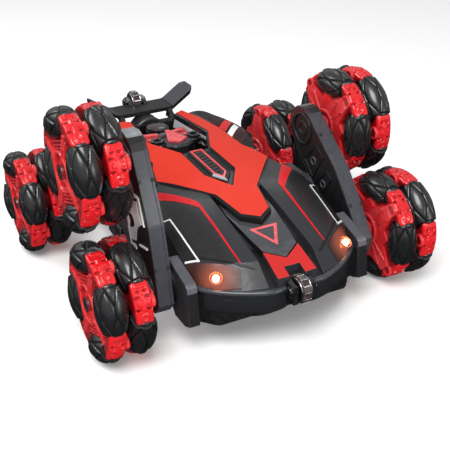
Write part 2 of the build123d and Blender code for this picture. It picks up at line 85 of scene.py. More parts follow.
# ---- shapes: vertices and faces gathered before they become a mesh
class Shape:
    """Vertices in millimetres, faces, and for each face the number of its material."""

    def __init__(self, verts=(), faces=(), mark=0):
        self.verts = np.asarray(verts, float).reshape(-1, 3)
        self.faces = [list(face) for face in faces]
        self.marks = [mark] * len(self.faces)

    def join(self, other, matrix=None, mark=None):
        """Take in another shape, moved by a 4x4 matrix if one is given."""
        verts = other.verts
        if matrix is not None:
            m = np.array(matrix)
            verts = verts @ m[:3, :3].T + m[:3, 3]
        base = len(self.verts)
        self.verts = np.vstack([self.verts, verts])
        self.faces += [[base + i for i in face] for face in other.faces]
        self.marks += list(other.marks) if mark is None else [mark] * len(other.faces)
        return self

    def mirrored(self):
        """The mirror image in the YZ plane."""
        image = Shape(self.verts * [-1, 1, 1], [face[::-1] for face in self.faces])
        image.marks = list(self.marks)
        return image

    def both(self):
        """This shape with its mirror image."""
        return Shape().join(self).join(self.mirrored())


def on_side(shape, side):
    """A right-hand shape, or its mirror image on the left."""
    return shape if SIDES[side] > 0 else shape.mirrored()


def move(x=0.0, y=0.0, z=0.0):
    return Matrix.Translation((x, y, z))


def turn(angle, axis="X"):
    return Matrix.Rotation(radians(angle), 4, axis)


def loft(rings, capped=True, mark=0):
    """Skin through rings of equal point counts."""
    count = len(rings[0])
    faces = []
    for first in range(0, (len(rings) - 1) * count, count):
        for i in range(count):
            a, b = first + i, first + (i + 1) % count
            faces.append([a, b, b + count, a + count])
    if capped:
        faces.append(list(range(count))[::-1])
        faces.append([(len(rings) - 1) * count + i for i in range(count)])
    return Shape(np.vstack([np.asarray(ring, float) for ring in rings]), faces, mark)


def signed_area(outline):
    """Area of an outline, above zero where its points turn left."""
    return sum(p[0] * q[1] - q[0] * p[1] for p, q in zip(outline, outline[1:] + outline[:1])) / 2


def prism(outline, low, high, axis="z", mark=0):
    """Straight solid with a flat outline: (y, z) pairs along x, (x, y) pairs along z."""
    ends = (low, high) if signed_area(outline) > 0 else (high, low)
    return loft([[(h, a, b) if axis == "x" else (a, b, h) for a, b in outline] for h in ends],
                mark=mark)


def box(x, y, z, mark=0):
    return prism([(x[0], y[0]), (x[1], y[0]), (x[1], y[1]), (x[0], y[1])], *z, mark=mark)


def circle(radius, count, start=0.0):
    """Points of a circle, from a start angle in degrees."""
    turns = [radians(start) + 2 * pi * i / count for i in range(count)]
    return [(radius * cos(a), radius * sin(a)) for a in turns]


def lathe(profile, axis="x", segments=48, capped=True, mark=0):
    """Turned shape. The profile's pairs are (place along the axis, radius), going up the axis."""
    shape = loft([[(h, a, b) for a, b in circle(r, segments)] for h, r in profile], capped, mark)
    if axis == "z":
        shape.verts = shape.verts[:, [1, 2, 0]]
    if axis == "y":
        shape.verts = shape.verts[:, [2, 0, 1]]
    return shape


def tube_ring(outer, inner, low, high, segments=48, edge=0.5, mark=0, axis="x"):
    """Flat ring with eased edges."""
    profile = [(low, inner + edge), (low, outer - edge), (low + edge, outer), (high - edge, outer),
               (high, outer - edge), (high, inner + edge), (high - edge, inner),
               (low + edge, inner), (low, inner + edge)]
    return lathe(profile, axis, segments, False, mark)


def mark_by(shape, rule):
    """Choose each face's material by a rule on the face's corners."""
    shape.marks = [int(rule(shape.verts[face])) for face in shape.faces]
    return shape


def to_mesh(name, shape, materials=()):
    """Smooth mesh in metres with the shape's materials."""
    mesh = bpy.data.meshes.new(name)
    mesh.from_pydata([tuple(v) for v in shape.verts * MM], [], shape.faces)
    for material in materials:
        mesh.materials.append(material)
    mesh.polygons.foreach_set("material_index", shape.marks)
    mesh.polygons.foreach_set("use_smooth", [True] * len(mesh.polygons))
    return mesh


def placed(name, data):
    """Object for a mesh, a lamp or a camera, in the scene."""
    thing = bpy.data.objects.new(name, data)
    bpy.context.scene.collection.objects.link(thing)
    return thing


def make(name, shape, materials, body="chassis", bevel=0.0, segments=2,
         replaces=(), sharp=CREASE_ANGLE):
    """Turn a shape into a piece that rides on a CAD body."""
    mesh = to_mesh(name, shape, materials)
    mesh.validate()
    piece = placed(name, mesh)
    if bevel:
        edge = piece.modifiers.new("edges", "BEVEL")
        edge.width = bevel * MM
        edge.segments = segments
        edge.limit_method = "ANGLE"
        edge.angle_limit = radians(BEVEL_ANGLE)
        piece.modifiers.new("normals", "WEIGHTED_NORMAL")
    else:
        mesh.set_sharp_from_angle(angle=radians(sharp))
    attach(piece, body, replaces)


def attach(piece, body, replaces=()):
    """Set a piece on its body and the CAD nodes that it stands for."""
    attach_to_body(piece, body)
    if replaces:
        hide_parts(*replaces)


# ---- materials
def join_range(node, links, source, ranges):
    """Feed a Map Range node and set its From Min, From Max, To Min and To Max."""
    for key, value in zip(("From Min", "From Max", "To Min", "To Max"), ranges):
        node.inputs[key].default_value = value
    links.new(source, node.inputs["Value"])
    return node.outputs["Result"]


def srgb(text):
    """Linear colour from a hex colour."""
    values = [int(text[i:i + 2], 16) / 255 for i in (0, 2, 4)]
    return [v / 12.92 if v <= 0.04045 else ((v + 0.055) / 1.055) ** 2.4 for v in values] + [1.0]


def set_inputs(material, values):
    """Set sockets of a material's shader by name."""
    shader = material.node_tree.nodes["Principled BSDF"]
    for socket, value in values.items():
        shader.inputs[socket].default_value = value
    return material


def plastic(name, colour, roughness=0.35, grain=1800.0, depth=0.04, mottle=0.12, worn=None,
            wear=0.35, metallic=0.0, coat=0.0, coat_roughness=0.08, specular=0.5):
    """Moulded plastic, rubber or metal: fine grain, soft colour drift and worn edges."""
    material = bpy.data.materials.new(name)
    material.use_nodes = True
    nodes, links = material.node_tree.nodes, material.node_tree.links
    shader = nodes["Principled BSDF"]
    set_inputs(material, {"Metallic": metallic, "Coat Weight": coat,
                          "Coat Roughness": coat_roughness, "Specular IOR Level": specular})
    where = nodes.new("ShaderNodeTexCoord")

    def noise(scale, detail):
        node = nodes.new("ShaderNodeTexNoise")
        node.inputs["Scale"].default_value = scale
        node.inputs["Detail"].default_value = detail
        links.new(where.outputs["Object"], node.inputs["Vector"])
        return node.outputs["Fac"]

    def ramp(source, low, high, from_low=0.35, from_high=0.65):
        node = nodes.new("ShaderNodeMapRange")
        return join_range(node, links, source, (from_low, from_high, low, high))

    def mix(factor, a, b):
        node = nodes.new("ShaderNodeMix")
        node.data_type = "RGBA"
        links.new(factor, node.inputs["Factor"])
        for socket, value in (("A", a), ("B", b)):
            target = [s for s in node.inputs if s.name == socket and s.type == "RGBA"][0]
            if isinstance(value, (list, tuple)):
                target.default_value = value
            else:
                links.new(value, target)
        return [s for s in node.outputs if s.type == "RGBA"][0]

    base = srgb(colour)
    shade = [c * (1 - mottle) for c in base[:3]] + [1.0]
    tint = mix(ramp(noise(38.0, 4.0), 0.0, 1.0), shade, base)
    geometry = nodes.new("ShaderNodeNewGeometry")
    scuff = nodes.new("ShaderNodeMath")
    scuff.operation = "MULTIPLY"
    links.new(ramp(geometry.outputs["Pointiness"], 0.0, wear, 0.515, 0.58), scuff.inputs[0])
    links.new(ramp(noise(260.0, 6.0), 0.2, 1.0), scuff.inputs[1])
    edge = srgb(worn) if worn else [min(1.0, c * 1.6 + 0.03) for c in base[:3]] + [1.0]
    links.new(mix(scuff.outputs[0], tint, edge), shader.inputs["Base Color"])
    links.new(ramp(noise(420.0, 5.0), roughness * 0.85, roughness * 1.2),
              shader.inputs["Roughness"])
    bump = nodes.new("ShaderNodeBump")
    bump.inputs["Strength"].default_value = 0.5
    bump.inputs["Distance"].default_value = depth * MM
    links.new(noise(grain, 3.0), bump.inputs["Height"])
    links.new(bump.outputs["Normal"], shader.inputs["Normal"])
    return material


RED = plastic("wheel_red", "D8161F", 0.2, 900.0, 0.012, 0.06, "F2787A", 0.3, coat=0.6)
# Darker red on the wheels' recesses, lower lobe sides, hubs and hole bottoms: painted shade.
RED_SHADE = plastic("wheel_red_painted_shade", "8A0D14", 0.32, 900.0, 0.02, 0.2, "C01C22", 0.4, coat=0.3)
RUBBER = plastic("roller_black", "18191C", 0.3, 2600.0, 0.002, 0.08, "26282C", 0.1, coat=0.35,
                 coat_roughness=0.22, specular=0.7)
# Near-black matte for the deep parts of the roller grooves: painted shade.
GROOVE_SHADE = plastic("roller_groove_shade", "040404", 0.8, 1400.0, 0.006, 0.1)
STEEL = plastic("steel", "B9BBBE", 0.25, 2400.0, 0.02, 0.08, "E6E6E8", 0.3, metallic=1.0)
ARM = plastic("arm_charcoal", "3A3C42", 0.34, 4200.0, 0.006, 0.06, "6C6F76", 0.3, coat=0.2)
# Black of the arms' bosses, pockets, clips and seams, also laid on their flat side faces as painted
# shade and on a facet at the upper end as painted reflection.
ARM_BLACK_AND_SHADE = plastic("arm_black_and_shade", "131315", 0.4, 2200.0, 0.06, 0.2, "3A3B40", 0.3)
BODY = plastic("body_charcoal", "2B2C30", 0.36, 4200.0, 0.004, 0.06, "606268", 0.2, coat=0.12,
                specular=0.4)
PANEL = plastic("panel_charcoal", "1B1B1E", 0.36, 2400.0, 0.03, 0.08, "45474C", 0.2, coat=0.2)
BLACK = plastic("chassis_black", "0D0D0E", 0.42, 2000.0, 0.06, 0.2, "2E2F33", 0.3)
HOOD = plastic("hood_red", "DA2C13", 0.34, 5200.0, 0.0015, 0.03, "E8604C", 0.1, specular=0.22)
NOSE_RED = plastic("nose_red", "C82D2C", 0.34, 5200.0, 0.0015, 0.03, "E8604C", 0.1, specular=0.22)
STRIPE = plastic("stripe_red", "CC121A", 0.34, 4600.0, 0.003, 0.05, "E8545A", 0.2, specular=0.25)
STRIPE_SOFT = plastic("stripe_dark_red", "32161A", 0.4, 2600.0, 0.01, 0.12, "6A3A3E", 0.2,
                      specular=0.15)
DECK = plastic("deck_grey", "3B3C41", 0.34, 2400.0, 0.05, 0.06, "7C7E85", 0.2, coat=0.3)
BUMPER = plastic("bumper_black", "222326", 0.36, 2200.0, 0.05, 0.10, "55575C", 0.3, coat=0.3)
# Lighter grey for the bumper's top lip: painted highlight.
BUMPER_LIP_HIGHLIGHT = plastic("bumper_lip_highlight", "3E4046", 0.28, 2200.0, 0.04, 0.08, "A6A8AE", 0.3, coat=0.4)
GLOSS = plastic("gloss_black", "101012", 0.16, 1600.0, 0.03, 0.15, "3C3D41", 0.3, coat=0.8)
# Lighter greys for the top and upper slopes of the corner guards: painted highlight.
GUARD_TOP_HIGHLIGHT = plastic("guard_top_painted_highlight", "4A4C53", 0.34, 2400.0, 0.03, 0.06, "7C7E85", 0.2, coat=0.3)
FACET_HIGHLIGHT = plastic("facet_painted_highlight", "585A61", 0.3, 2400.0, 0.03, 0.06, "A0A2A8", 0.2, coat=0.3)
# Near-black sheets laid where slots open: painted shade.
SLOT_SHADE = plastic("slot_painted_shade", "030303", 0.7, 1800.0, 0.03, 0.1)
PALE = plastic("side_pale", "F2F2F8", 0.35, 2400.0, 0.01, 0.05, coat=0.3)
FLANK = plastic("flank_black", "0E0F11", 0.4, 2400.0, 0.02, 0.1, "2A2C30", 0.2, specular=0.2)
PINK = plastic("line_pink", "F59AA0", 0.3, 2000.0, 0.02, 0.05)
LENS_RIM = plastic("lens_rim", "D8805E", 0.2, 2000.0, 0.02, 0.1, coat=0.6)
CAP_BROWN = plastic("arm_cap_brown", "3C1E20", 0.35, 2200.0, 0.04, 0.15)
# Light grey for the arms' upper end caps: painted highlight.
CAP_HIGHLIGHT = plastic("arm_cap_painted_highlight", "808389", 0.25, 2200.0, 0.03, 0.08, "B6B8BE", 0.3, coat=0.5)
WHITE = plastic("stripe_white", "F1F1EF", 0.35, 2600.0, 0.02, 0.04, "FFFFFF", 0.2)
GREY = plastic("side_grey", "A9ABB2", 0.4, 2200.0, 0.05, 0.08, "D6D8DC", 0.3, coat=0.1)
GRILLE = plastic("grille_red", "E23038", 0.28, 2000.0, 0.03, 0.08, "F59A9A", 0.4, coat=0.3)
BROWN = plastic("tip_roller_brown", "2B1B18", 0.2, 1800.0, 0.04, 0.15, "8C807C", 0.5, coat=0.8)
CHROME = plastic("roller_chrome", "C9C9CB", 0.16, 1800.0, 0.02, 0.06, "F0F0F0", 0.3, metallic=1.0)
NYLON = plastic("gear_nylon", "E4E1D6", 0.42, 1500.0, 0.04, 0.05)
BOARD = plastic("board_green", "14542A", 0.45, 1500.0, 0.04, 0.15)
SLEEVE = plastic("battery_blue", "20398A", 0.3, 1500.0, 0.04, 0.10)
HOUSING = plastic("gearbox_black", "1A1A1C", 0.45, 1800.0, 0.05, 0.15)
LENS = set_inputs(plastic("lens_smoke", "3A2A26", 0.08, depth=0.01, coat=0.6),
                  {"Transmission Weight": 0.75, "IOR": 1.45})
GLOW = set_inputs(plastic("led_amber", "FFC9A0", 0.3, depth=0.01),
                  {"Emission Color": srgb("FF9060"), "Emission Strength": 14.0})

NODE_MATERIALS = {
    "wheel_red": RED, "roller_black": RUBBER, "steel": STEEL, "arm_charcoal": ARM,
    "gear_nylon": NYLON, "body_charcoal": BODY, "chassis_black": BLACK, "hood_red": HOOD,
    "vent_black": PANEL, "grille_red": GRILLE, "bay_black": BLACK, "side_grey": GREY,
    "lens_smoke": LENS, "led_amber": GLOW, "tip_roller_brown": BROWN, "battery_blue": SLEEVE,
    "board_green": BOARD, "gearbox_black": HOUSING,
}


def dress_nodes():
    """Give every CAD node the material of its slot."""
    slots = {part["node"]: part["material_slot"] for part in frame["record"]["subparts"]}
    for name, node in frame["nodes"].items():
        node.data.materials.clear()
        node.data.materials.append(NODE_MATERIALS[slots[name]])
        node.data.polygons.foreach_set("material_index", [0] * len(node.data.polygons))


dress_nodes()


# ---- omni wheel, drawn on the right about the X axis
barrel_lens_half = 14.2           # half length of the grooved part of a barrel
barrel_lenses = 6                 # long pointed ovals round a barrel
groove_depth, groove_width = 0.95, 0.5
groove_shade_depth = 0.7                 # deeper than this a groove takes painted shade
pillow_depth, pillow_width = 0.28, 2.4    # rounding of each oval towards its grooves
barrel_gap = 0.05                 # kept between the drawn rubber and the CAD's own
fuller = 0.9                      # barrels are drawn this much fuller than in CAD,
barrel_axis_radius = roller_axis_radius - fuller
row_place = row_offset - fuller   # so each row moves in by as much


def barrel_radius(s):
    return sqrt(wheel_radius ** 2 - s ** 2) - barrel_axis_radius


def groove(angle, s):
    """How far the surface sinks at an angle (degrees) and a place along the barrel."""
    half_step = 180 / barrel_lenses
    swing = half_step * cos(pi * s / (2 * barrel_lens_half))
    slope = radians(half_step) * pi / (2 * barrel_lens_half) * sin(pi * s / (2 * barrel_lens_half))
    radius = barrel_radius(s)
    offset = min(abs((angle - side * swing + half_step) % (2 * half_step) - half_step)
                 for side in (-1, 1))
    nearest = radians(offset) * radius / hypot(1, radius * slope)
    return (groove_depth * exp(-(nearest / groove_width) ** 2)
            + pillow_depth * exp(-(nearest / pillow_width) ** 2))


def barrel():
    """Rubber barrel about Z with its crossed grooves, their deep parts in painted shade, end necks
    and collars.
    """
    around, along = 108, 52
    rings = []
    for i in range(along + 1):
        s = -barrel_lens_half + 2 * barrel_lens_half * i / along
        ring = []
        for j in range(around):
            angle = 360 * j / around
            r = barrel_radius(s) - groove(angle, s) - barrel_gap
            ring.append((r * cos(radians(angle)), r * sin(radians(angle)), s))
        rings.append(ring)
    collar = [(barrel_lens_half + 0.1, 5.9), (barrel_lens_half + 0.5, 5.6),
              (barrel_lens_half + 0.8, 6.0), (roller_half_length - 0.5, 5.8),
              (roller_half_length - 0.05, 5.2), (roller_half_length - 0.05, 1.4)]
    near, far = ([[(x, y, sign * place) for x, y in circle(r, around)] for place, r in collar]
                 for sign in (-1, 1))

    # Faces deep in a groove take the near-black material as painted shade.
    def in_groove_shade(corners):
        x, y, s = corners.mean(axis=0)
        sunk = groove(np.degrees(np.arctan2(y, x)), s)
        return abs(s) < barrel_lens_half and sunk > groove_shade_depth
    return mark_by(loft(near[::-1] + rings + far), in_groove_shade)


def around_wheel(angle, x=0.0):
    """Place on the wheel whose straight-ahead direction is raised by an angle."""
    return move(x=x) @ turn(-angle)


def wheel_rollers(side):
    shape = Shape()
    single = barrel()
    for row in (0, 1):
        for i in range(rollers_per_row):
            angle = wheel_turn[side] + 45 * row + 360 / rollers_per_row * i
            spot = around_wheel(angle, row_place * (1 - 2 * row))
            shape.join(single, spot @ move(y=-barrel_axis_radius))
    return shape


pad_half_width, pad_radius, pad_half_angle = 5.9, 37.7, 22.0
pad_corner, pad_round = 3.2, 1.5  # radius of its corners, and of the rounding along its rim
pad_shade_depth = pad_radius - 0.45      # the sunk blocks below this take painted shade
lobe_root = 24.4                  # where the two sides of a lobe meet, towards the hub


def smooth_step(value, low, high):
    t = min(1.0, max(0.0, (value - low) / (high - low)))
    return t * t * (3 - 2 * t)


def in_block(u, v, centre_u, centre_v, half_u, half_v, soft=0.28):
    """1 inside a small rectangle on the pad, 0 outside, with soft sides."""
    return (smooth_step(half_u - abs(u - centre_u), -soft, soft)
            * smooth_step(half_v - abs(v - centre_v), -soft, soft))


def pad_relief(u, v):
    """Raised and sunk details of a pad; u runs round the wheel and v across it."""
    cross, bar, ring, deep_slot, slot = 0.8, 0.6, 0.7, 1.5, 1.2     # heights and depths
    relief = cross * max(in_block(u, v, 0, 0, 5.4, 1.5), in_block(u, v, 0, 0, 1.6, 3.9))
    relief += bar * in_block(u, v, 10.6, 0, 0.9, 3.2)
    from_ring = abs(hypot(u + 9.4, v) - 2.1)
    relief += ring * smooth_step(0.75 - from_ring, -0.25, 0.3)
    for side in (-1, 1):
        for place in (-4.0, 4.0):
            relief -= deep_slot * in_block(u, v, place, side * 3.8, 0.8, 1.5)
        relief -= slot * in_block(u, v, 7.8, side * 2.2, 0.6, 1.1)
    return relief


def pad():
    """Rounded outer end of a lobe, straight ahead of the axle."""
    rows, columns = 60, 32
    half_arc = radians(pad_half_angle) * pad_radius
    grid = []
    for i in range(rows + 1):
        line = []
        for j in range(columns + 1):
            u = half_arc * (2 * i / rows - 1)
            v = pad_half_width * (2 * j / columns - 1)
            du = max(0.0, abs(u) - half_arc + pad_corner)
            dv = max(0.0, abs(v) - pad_half_width + pad_corner)
            reach = hypot(du, dv)
            if reach > pad_corner:
                u -= (du - du * pad_corner / reach) * (1 if u > 0 else -1)
                v -= (dv - dv * pad_corner / reach) * (1 if v > 0 else -1)
                reach = pad_corner
            edge = max(0.0, (reach - pad_corner + pad_round) / pad_round)
            r = (pad_radius + pad_relief(u, v) * (1 - edge)
                 - pad_round * (1 - sqrt(1 - min(1, edge) ** 2)))
            angle = u / pad_radius
            line.append((v, -r * cos(angle), r * sin(angle)))
        grid.append(line)
    count = columns + 1
    verts = [p for line in grid for p in line]
    faces = [[i * count + j, (i + 1) * count + j, (i + 1) * count + j + 1, i * count + j + 1]
             for i in range(rows) for j in range(columns)]
    border = ([j for j in range(columns)] + [i * count + columns for i in range(rows)]
              + [rows * count + j for j in range(columns, 0, -1)]
              + [i * count for i in range(rows, 0, -1)])
    shape = Shape(verts, faces)
    radii = [hypot(y, z) for _, y, z in verts]
    # Sunk blocks of the pad take the darker red as painted shade.
    shape.marks = [1 if 2 < i < rows - 3 and 2 < j < columns - 3
                   and max(radii[k] for k in faces[i * columns + j]) < pad_shade_depth else 0
                   for i in range(rows) for j in range(columns)]
    rings = [[verts[k] for k in border]]
    for share in (0.06, 1.0):
        ring = []
        for k in border:
            x, y, z = verts[k]
            ring.append((x, y + (-lobe_root - y) * share, z * (1 - share)))
        rings.append(ring)
    shape.join(loft(rings[:2], False))
    # The lower sides of the lobe take the darker red as painted shade.
    return shape.join(loft(rings[1:], False, mark=1))


def lobe():
    """Pad with the round ring boss on the side that faces the car's body."""
    shape = pad()
    boss = move(y=-33.4)
    shape.join(tube_ring(4.7, 3.2, -8.0, -pad_half_width + 0.4, 40, 0.5), boss)
    # The bottom of the boss's hole takes the darker red as painted shade.
    shape.join(lathe([(-7.1, 3.3), (-7.0, 3.3)], "x", 40, mark=1), boss)
    return shape


def star_outline(tip, shoulder, valley, peak):
    """Closed web outline with a tip at every lobe and a W-shaped valley before every roller."""
    points = []
    for i in range(rollers_per_row):
        base = 90 * i + 45
        for angle, r in ((-8, tip), (8, tip), (13, shoulder), (28, valley), (45, peak),
                         (62, valley), (77, shoulder)):
            a = radians(base + angle)
            points.append((-r * cos(a), r * sin(a)))
    return points


def hub():
    """Square middle of a row, with chamfered corners."""
    half, cut = 18.6, 5.0
    outline = [(half, -half + cut), (half, half - cut), (half - cut, half), (-half + cut, half),
               (-half, half - cut), (-half, -half + cut), (-half + cut, -half), (half - cut, -half)]
    # The hub takes the darker red as painted shade.
    return prism(outline, -row_offset, 4.0, "x", mark=1)


def ribs_to_lobes(low, high, near, far, half_width):
    """Four straight bars from the hub to the lobes."""
    bars = Shape()
    bar = box((low, high), (-far, -near), (-half_width, half_width))
    for i in range(rollers_per_row):
        bars.join(bar, around_wheel(90 * i + 45))
    return bars


def body_side_web():
    """Raised star plate over a darker red ground of painted shade, with the ring of the hub."""
    shape = prism(star_outline(32.0, 27.5, 20.4, 23.6), -9.3, -7.4, "x")
    shape.join(prism(star_outline(33.5, 29.5, 22.6, 26.0), -7.6, -5.0, "x", mark=1))
    shape.join(tube_ring(11.6, 8.6, -10.3, -8.4, 48, 0.6))
    # The bottom of the hub's hole takes the darker red as painted shade.
    shape.join(lathe([(-9.6, 8.8), (-9.5, 8.8)], "x", 40, mark=1))
    shape.join(tube_ring(6.2, 3.3, -10.6, -8.4, 40, 0.5))
    for i in range(rollers_per_row):
        for tilt in (-20, 20):
            bar = box((-9.9, -9.0), (-27.5, -12.0), (-0.6, 0.6))
            shape.join(bar, around_wheel(90 * i + 45 + tilt * 0.45))
    return shape


def outer_side_web():
    """Open outer face: four ribbed spokes, louvres between them and a round hub cup."""
    shape = ribs_to_lobes(1.8, 6.4, 12.5, 27.5, 3.4)
    shape.join(ribs_to_lobes(4.6, 7.1, 11.8, 31.0, 1.1))
    # The star plate behind the spokes takes the darker red as painted shade.
    shape.join(prism(star_outline(33.0, 27.0, 19.6, 22.6), 0.5, 3.2, "x", mark=1))
    for i in range(rollers_per_row):
        for r in (14.6, 16.9, 19.2):
            slat = box((2.4, 5.8), (-r - 0.5, -r + 0.5), (-(r - 8.2), r - 8.2))
            shape.join(slat, around_wheel(90 * i))
    shape.join(tube_ring(13.6, 11.8, 0.8, 7.0, 56, 0.6))
    shape.join(tube_ring(9.4, 4.4, 1.0, 4.6, 48, 0.5))
    return shape


def wheel_row(outer, side):
    """Red frame of one row; the outer row shows its louvred face, the inner one its star."""
    shape = hub() if outer else hub().mirrored()
    single = lobe()
    for i in range(rollers_per_row):
        shape.join(single, around_wheel(90 * i + 45))
    shape.join(outer_side_web() if outer else body_side_web())
    row = 0 if outer else 1
    return Shape().join(shape, around_wheel(wheel_turn[side] + 45 * row, row_place * (1 - 2 * row)))


wheel_crease = 42.0               # degrees from which an edge of a wheel is sharp


def build_wheels():
    """One set of meshes for each side, shared by its three wheels."""
    for side in SIDES:
        for part, node, drawn, materials, slot in (
                ("rollers", "rollers", wheel_rollers(side), [RUBBER, GROOVE_SHADE], "roller_black"),
                ("outer_row", "outer_frame", wheel_row(True, side), [RED, RED_SHADE], "wheel_red"),
                ("inner_row", "inner_frame", wheel_row(False, side), [RED, RED_SHADE], "wheel_red")):
            shared = to_mesh(f"{side}_wheel_{part}", on_side(drawn, side), materials)
            shared.set_sharp_from_angle(angle=radians(wheel_crease))
            for place in ("front", "middle", "rear"):
                body = f"{place}_{side}_wheel"
                mesh = shared
                if body in further_turn:
                    mesh = shared.copy()
                    mesh.transform(Matrix.Rotation(radians(further_turn[body]), 4, "X"))
                piece = placed(f"{body}_{part}_skin", mesh)
                piece.location = Vector(joint_place[f"{body}_spin"]) * MM
                attach(piece, body, [f"{body}_{node}"])


build_wheels()


# ---- swing arms, drawn along +Y about the pivot, then turned to their own angle
arm_seam = 72.8
arm_outline = [(-17, 4), (-11, 14), (14.3, 18), (40.6, 20.2), (44.4, 20.2), (72.5, 16.5),
               (89.5, 14), (94.6, 13), (98.4, 9.6), (102, 4), (103.2, -6), (97, -17), (75, -18),
               (14, -18), (-9, -15), (-17, -5)]


def arm_place(side):
    """Matrix from the arm's own drawing to its place on the right-hand side."""
    middle = joint_place[f"middle_{side}_wheel_spin"]
    rise = Vector((middle[1] - front_axle[0], middle[2] - front_axle[1]))
    return move(y=front_axle[0], z=front_axle[1]) @ turn(np.degrees(np.arctan2(rise.y, rise.x)))


def inset(outline, amount):
    """Outline moved inwards by an amount, or outwards where the amount is below zero."""
    side = -1 if signed_area(outline) > 0 else 1
    moved = []
    for i in range(len(outline)):
        a, b, c = (np.array(outline[(i + k) % len(outline)], float) for k in (-1, 0, 1))
        n1 = np.array([-(b - a)[1], (b - a)[0]]) / np.linalg.norm(b - a)
        n2 = np.array([-(c - b)[1], (c - b)[0]]) / np.linalg.norm(c - b)
        moved.append(tuple(b - (n1 + n2) / (1 + n1 @ n2) * side * amount))
    return moved


def frame_ring(outline, width, low, high, mark=0):
    """Raised rim along an outline in the (y, z) plane."""
    inner = inset(outline, width)
    count = len(outline)
    verts = [(low, y, z) for y, z in outline] + [(low, y, z) for y, z in inner]
    verts += [(high, y, z) for y, z in outline] + [(high, y, z) for y, z in inner]
    faces = []
    for i in range(count):
        j = (i + 1) % count
        faces += [[i, j, count + j, count + i],
                  [2 * count + i, 3 * count + i, 3 * count + j, 2 * count + j],
                  [i, 2 * count + i, 2 * count + j, j],
                  [count + i, count + j, 3 * count + j, 3 * count + i]]
    return Shape(verts, faces, mark)


def arm_end_reflection(corners):
    """Painted reflection round the upper end of an arm's rim: dark facets and a light cap."""
    _, along, up = corners.mean(axis=0)
    if len(corners) != 4 or along < 91:
        return 0
    if along > 99:
        return 3
    return (1 if along > 95 else 2) if up > 5 else 0


def arm_inner_skin():
    """Thin half towards the body: lit rim, dark face partly in painted shade, round bosses and
    moulded pockets.
    """
    face = arm_inner_face
    shape = mark_by(prism(arm_outline, face + 0.3, arm_seam - 0.04, "x"), arm_end_reflection)
    # The flat face is black, partly as painted shade.
    shape.join(prism(inset(arm_outline, 1.1), face, face + 1.0, "x", mark=1))
    hub = move(y=arm_reach)
    shape.join(tube_ring(12.2, 10.4, face - 1.2, face + 0.6, 56, 0.5, 1), hub)
    shape.join(tube_ring(6.0, 3.4, face - 0.7, face + 0.6, 40, 0.4, 1), hub)
    cap = [(91, 12.4), (95.6, 11.6), (101.8, 3.6), (102.7, -5.6), (96.3, -15.9), (93, -16.2),
           (97.5, -5)]
    shape.join(prism(cap, face - 0.35, face + 0.3, "x", mark=2))
    for near, far in ((33, 46), (50, 67)):
        pocket = [(near, -13), (far, -14), (far, 9), (near + 5, 11)]
        shape.join(frame_ring(pocket, 1.1, face - 0.5, face + 0.3, 1))
        shape.join(tube_ring(3.4, 2.2, face - 0.7, face + 0.3, 32, 0.3, 0),
                   move(y=(near + far) / 2 + 1, z=-3))
    return shape


def arm_outer_skin():
    """Deep half towards the wheels, with its bosses and the small clips at the seam."""
    face = arm_outer_face
    shape = mark_by(prism(arm_outline, arm_seam + 0.04, face, "x"), arm_end_reflection)
    # The flat outer face is black, partly as painted shade.
    shape.join(prism(inset(arm_outline, 1.2), face - 0.2, face + 0.15, "x", 1))
    shape.join(prism(inset(arm_outline, 0.8), arm_seam - 0.3, arm_seam + 0.3, "x", mark=1))
    boss = [(face - 1, 8), (face + 2.6, 8), (face + 2.9, 7.4), (face + 2.9, 3.1)]
    for y in (0, arm_reach):
        shape.join(tube_ring(11, 8.6, face - 0.5, face + 0.8, 48, 0.4, 0), move(y=y))
        shape.join(lathe(boss, "x", 48), move(y=y))
    for y, z in ((14.4, 18.2), (71.0, 17.0)):         # clips
        for x in (arm_seam - 1.6, face - 1.4):
            shape.join(box((x, x + 1.9), (y - 1.1, y + 1.1), (z - 1.2, z + 0.5), mark=1))
    return shape


def arm_side_panel():
    """Light panel let into the outer face of an arm, with a curved slot and white edge lines."""
    face = arm_outer_face
    hub_edge = [(25 + r * cos(a), 14 + r * sin(a))
                for r, a in zip(np.linspace(18.7, 21.2, 9), np.radians(np.linspace(-15, -74, 9)))]
    panel = [(58, 0), (57.8, 7)] + hub_edge + [(30.7, -16.2), (48, -16.6)]
    shape = prism(panel, face - 0.2, face + 0.7, "x")
    slot = [(48.3, -12.3), (49.7, -8.4), (48, -5), (45.2, -3.4), (42, -3.6), (40.3, -5.4),
            (39.3, -12), (41, -11.5), (44.4, -9.6), (46.8, -10.5)]
    # The curved slot is a black sheet of painted shade.
    shape.join(prism(slot, face + 0.5, face + 0.95, "x", 2))
    for line in ([(61.5, 10.2), (60.9, 12.9), (42.2, 14.6), (43.6, 12)],
                 [(63.6, 2.2), (61.9, 11), (60.2, 9.4), (61.2, 2)],
                 [(29.4, -1), (28.3, 12.4), (26.8, 12.4), (27.9, -1)],
                 [(40, -15.6), (40, -17.1), (27, -17.1), (27, -15.6)]):
        shape.join(prism(line, face - 0.2, face + 0.9, "x", 1))
    shape.join(prism([(28.2, -15.5), (28, -9.5), (24.6, -8.6), (25.4, -13.5)], face - 0.2,
                     face + 0.6, "x"))
    return shape


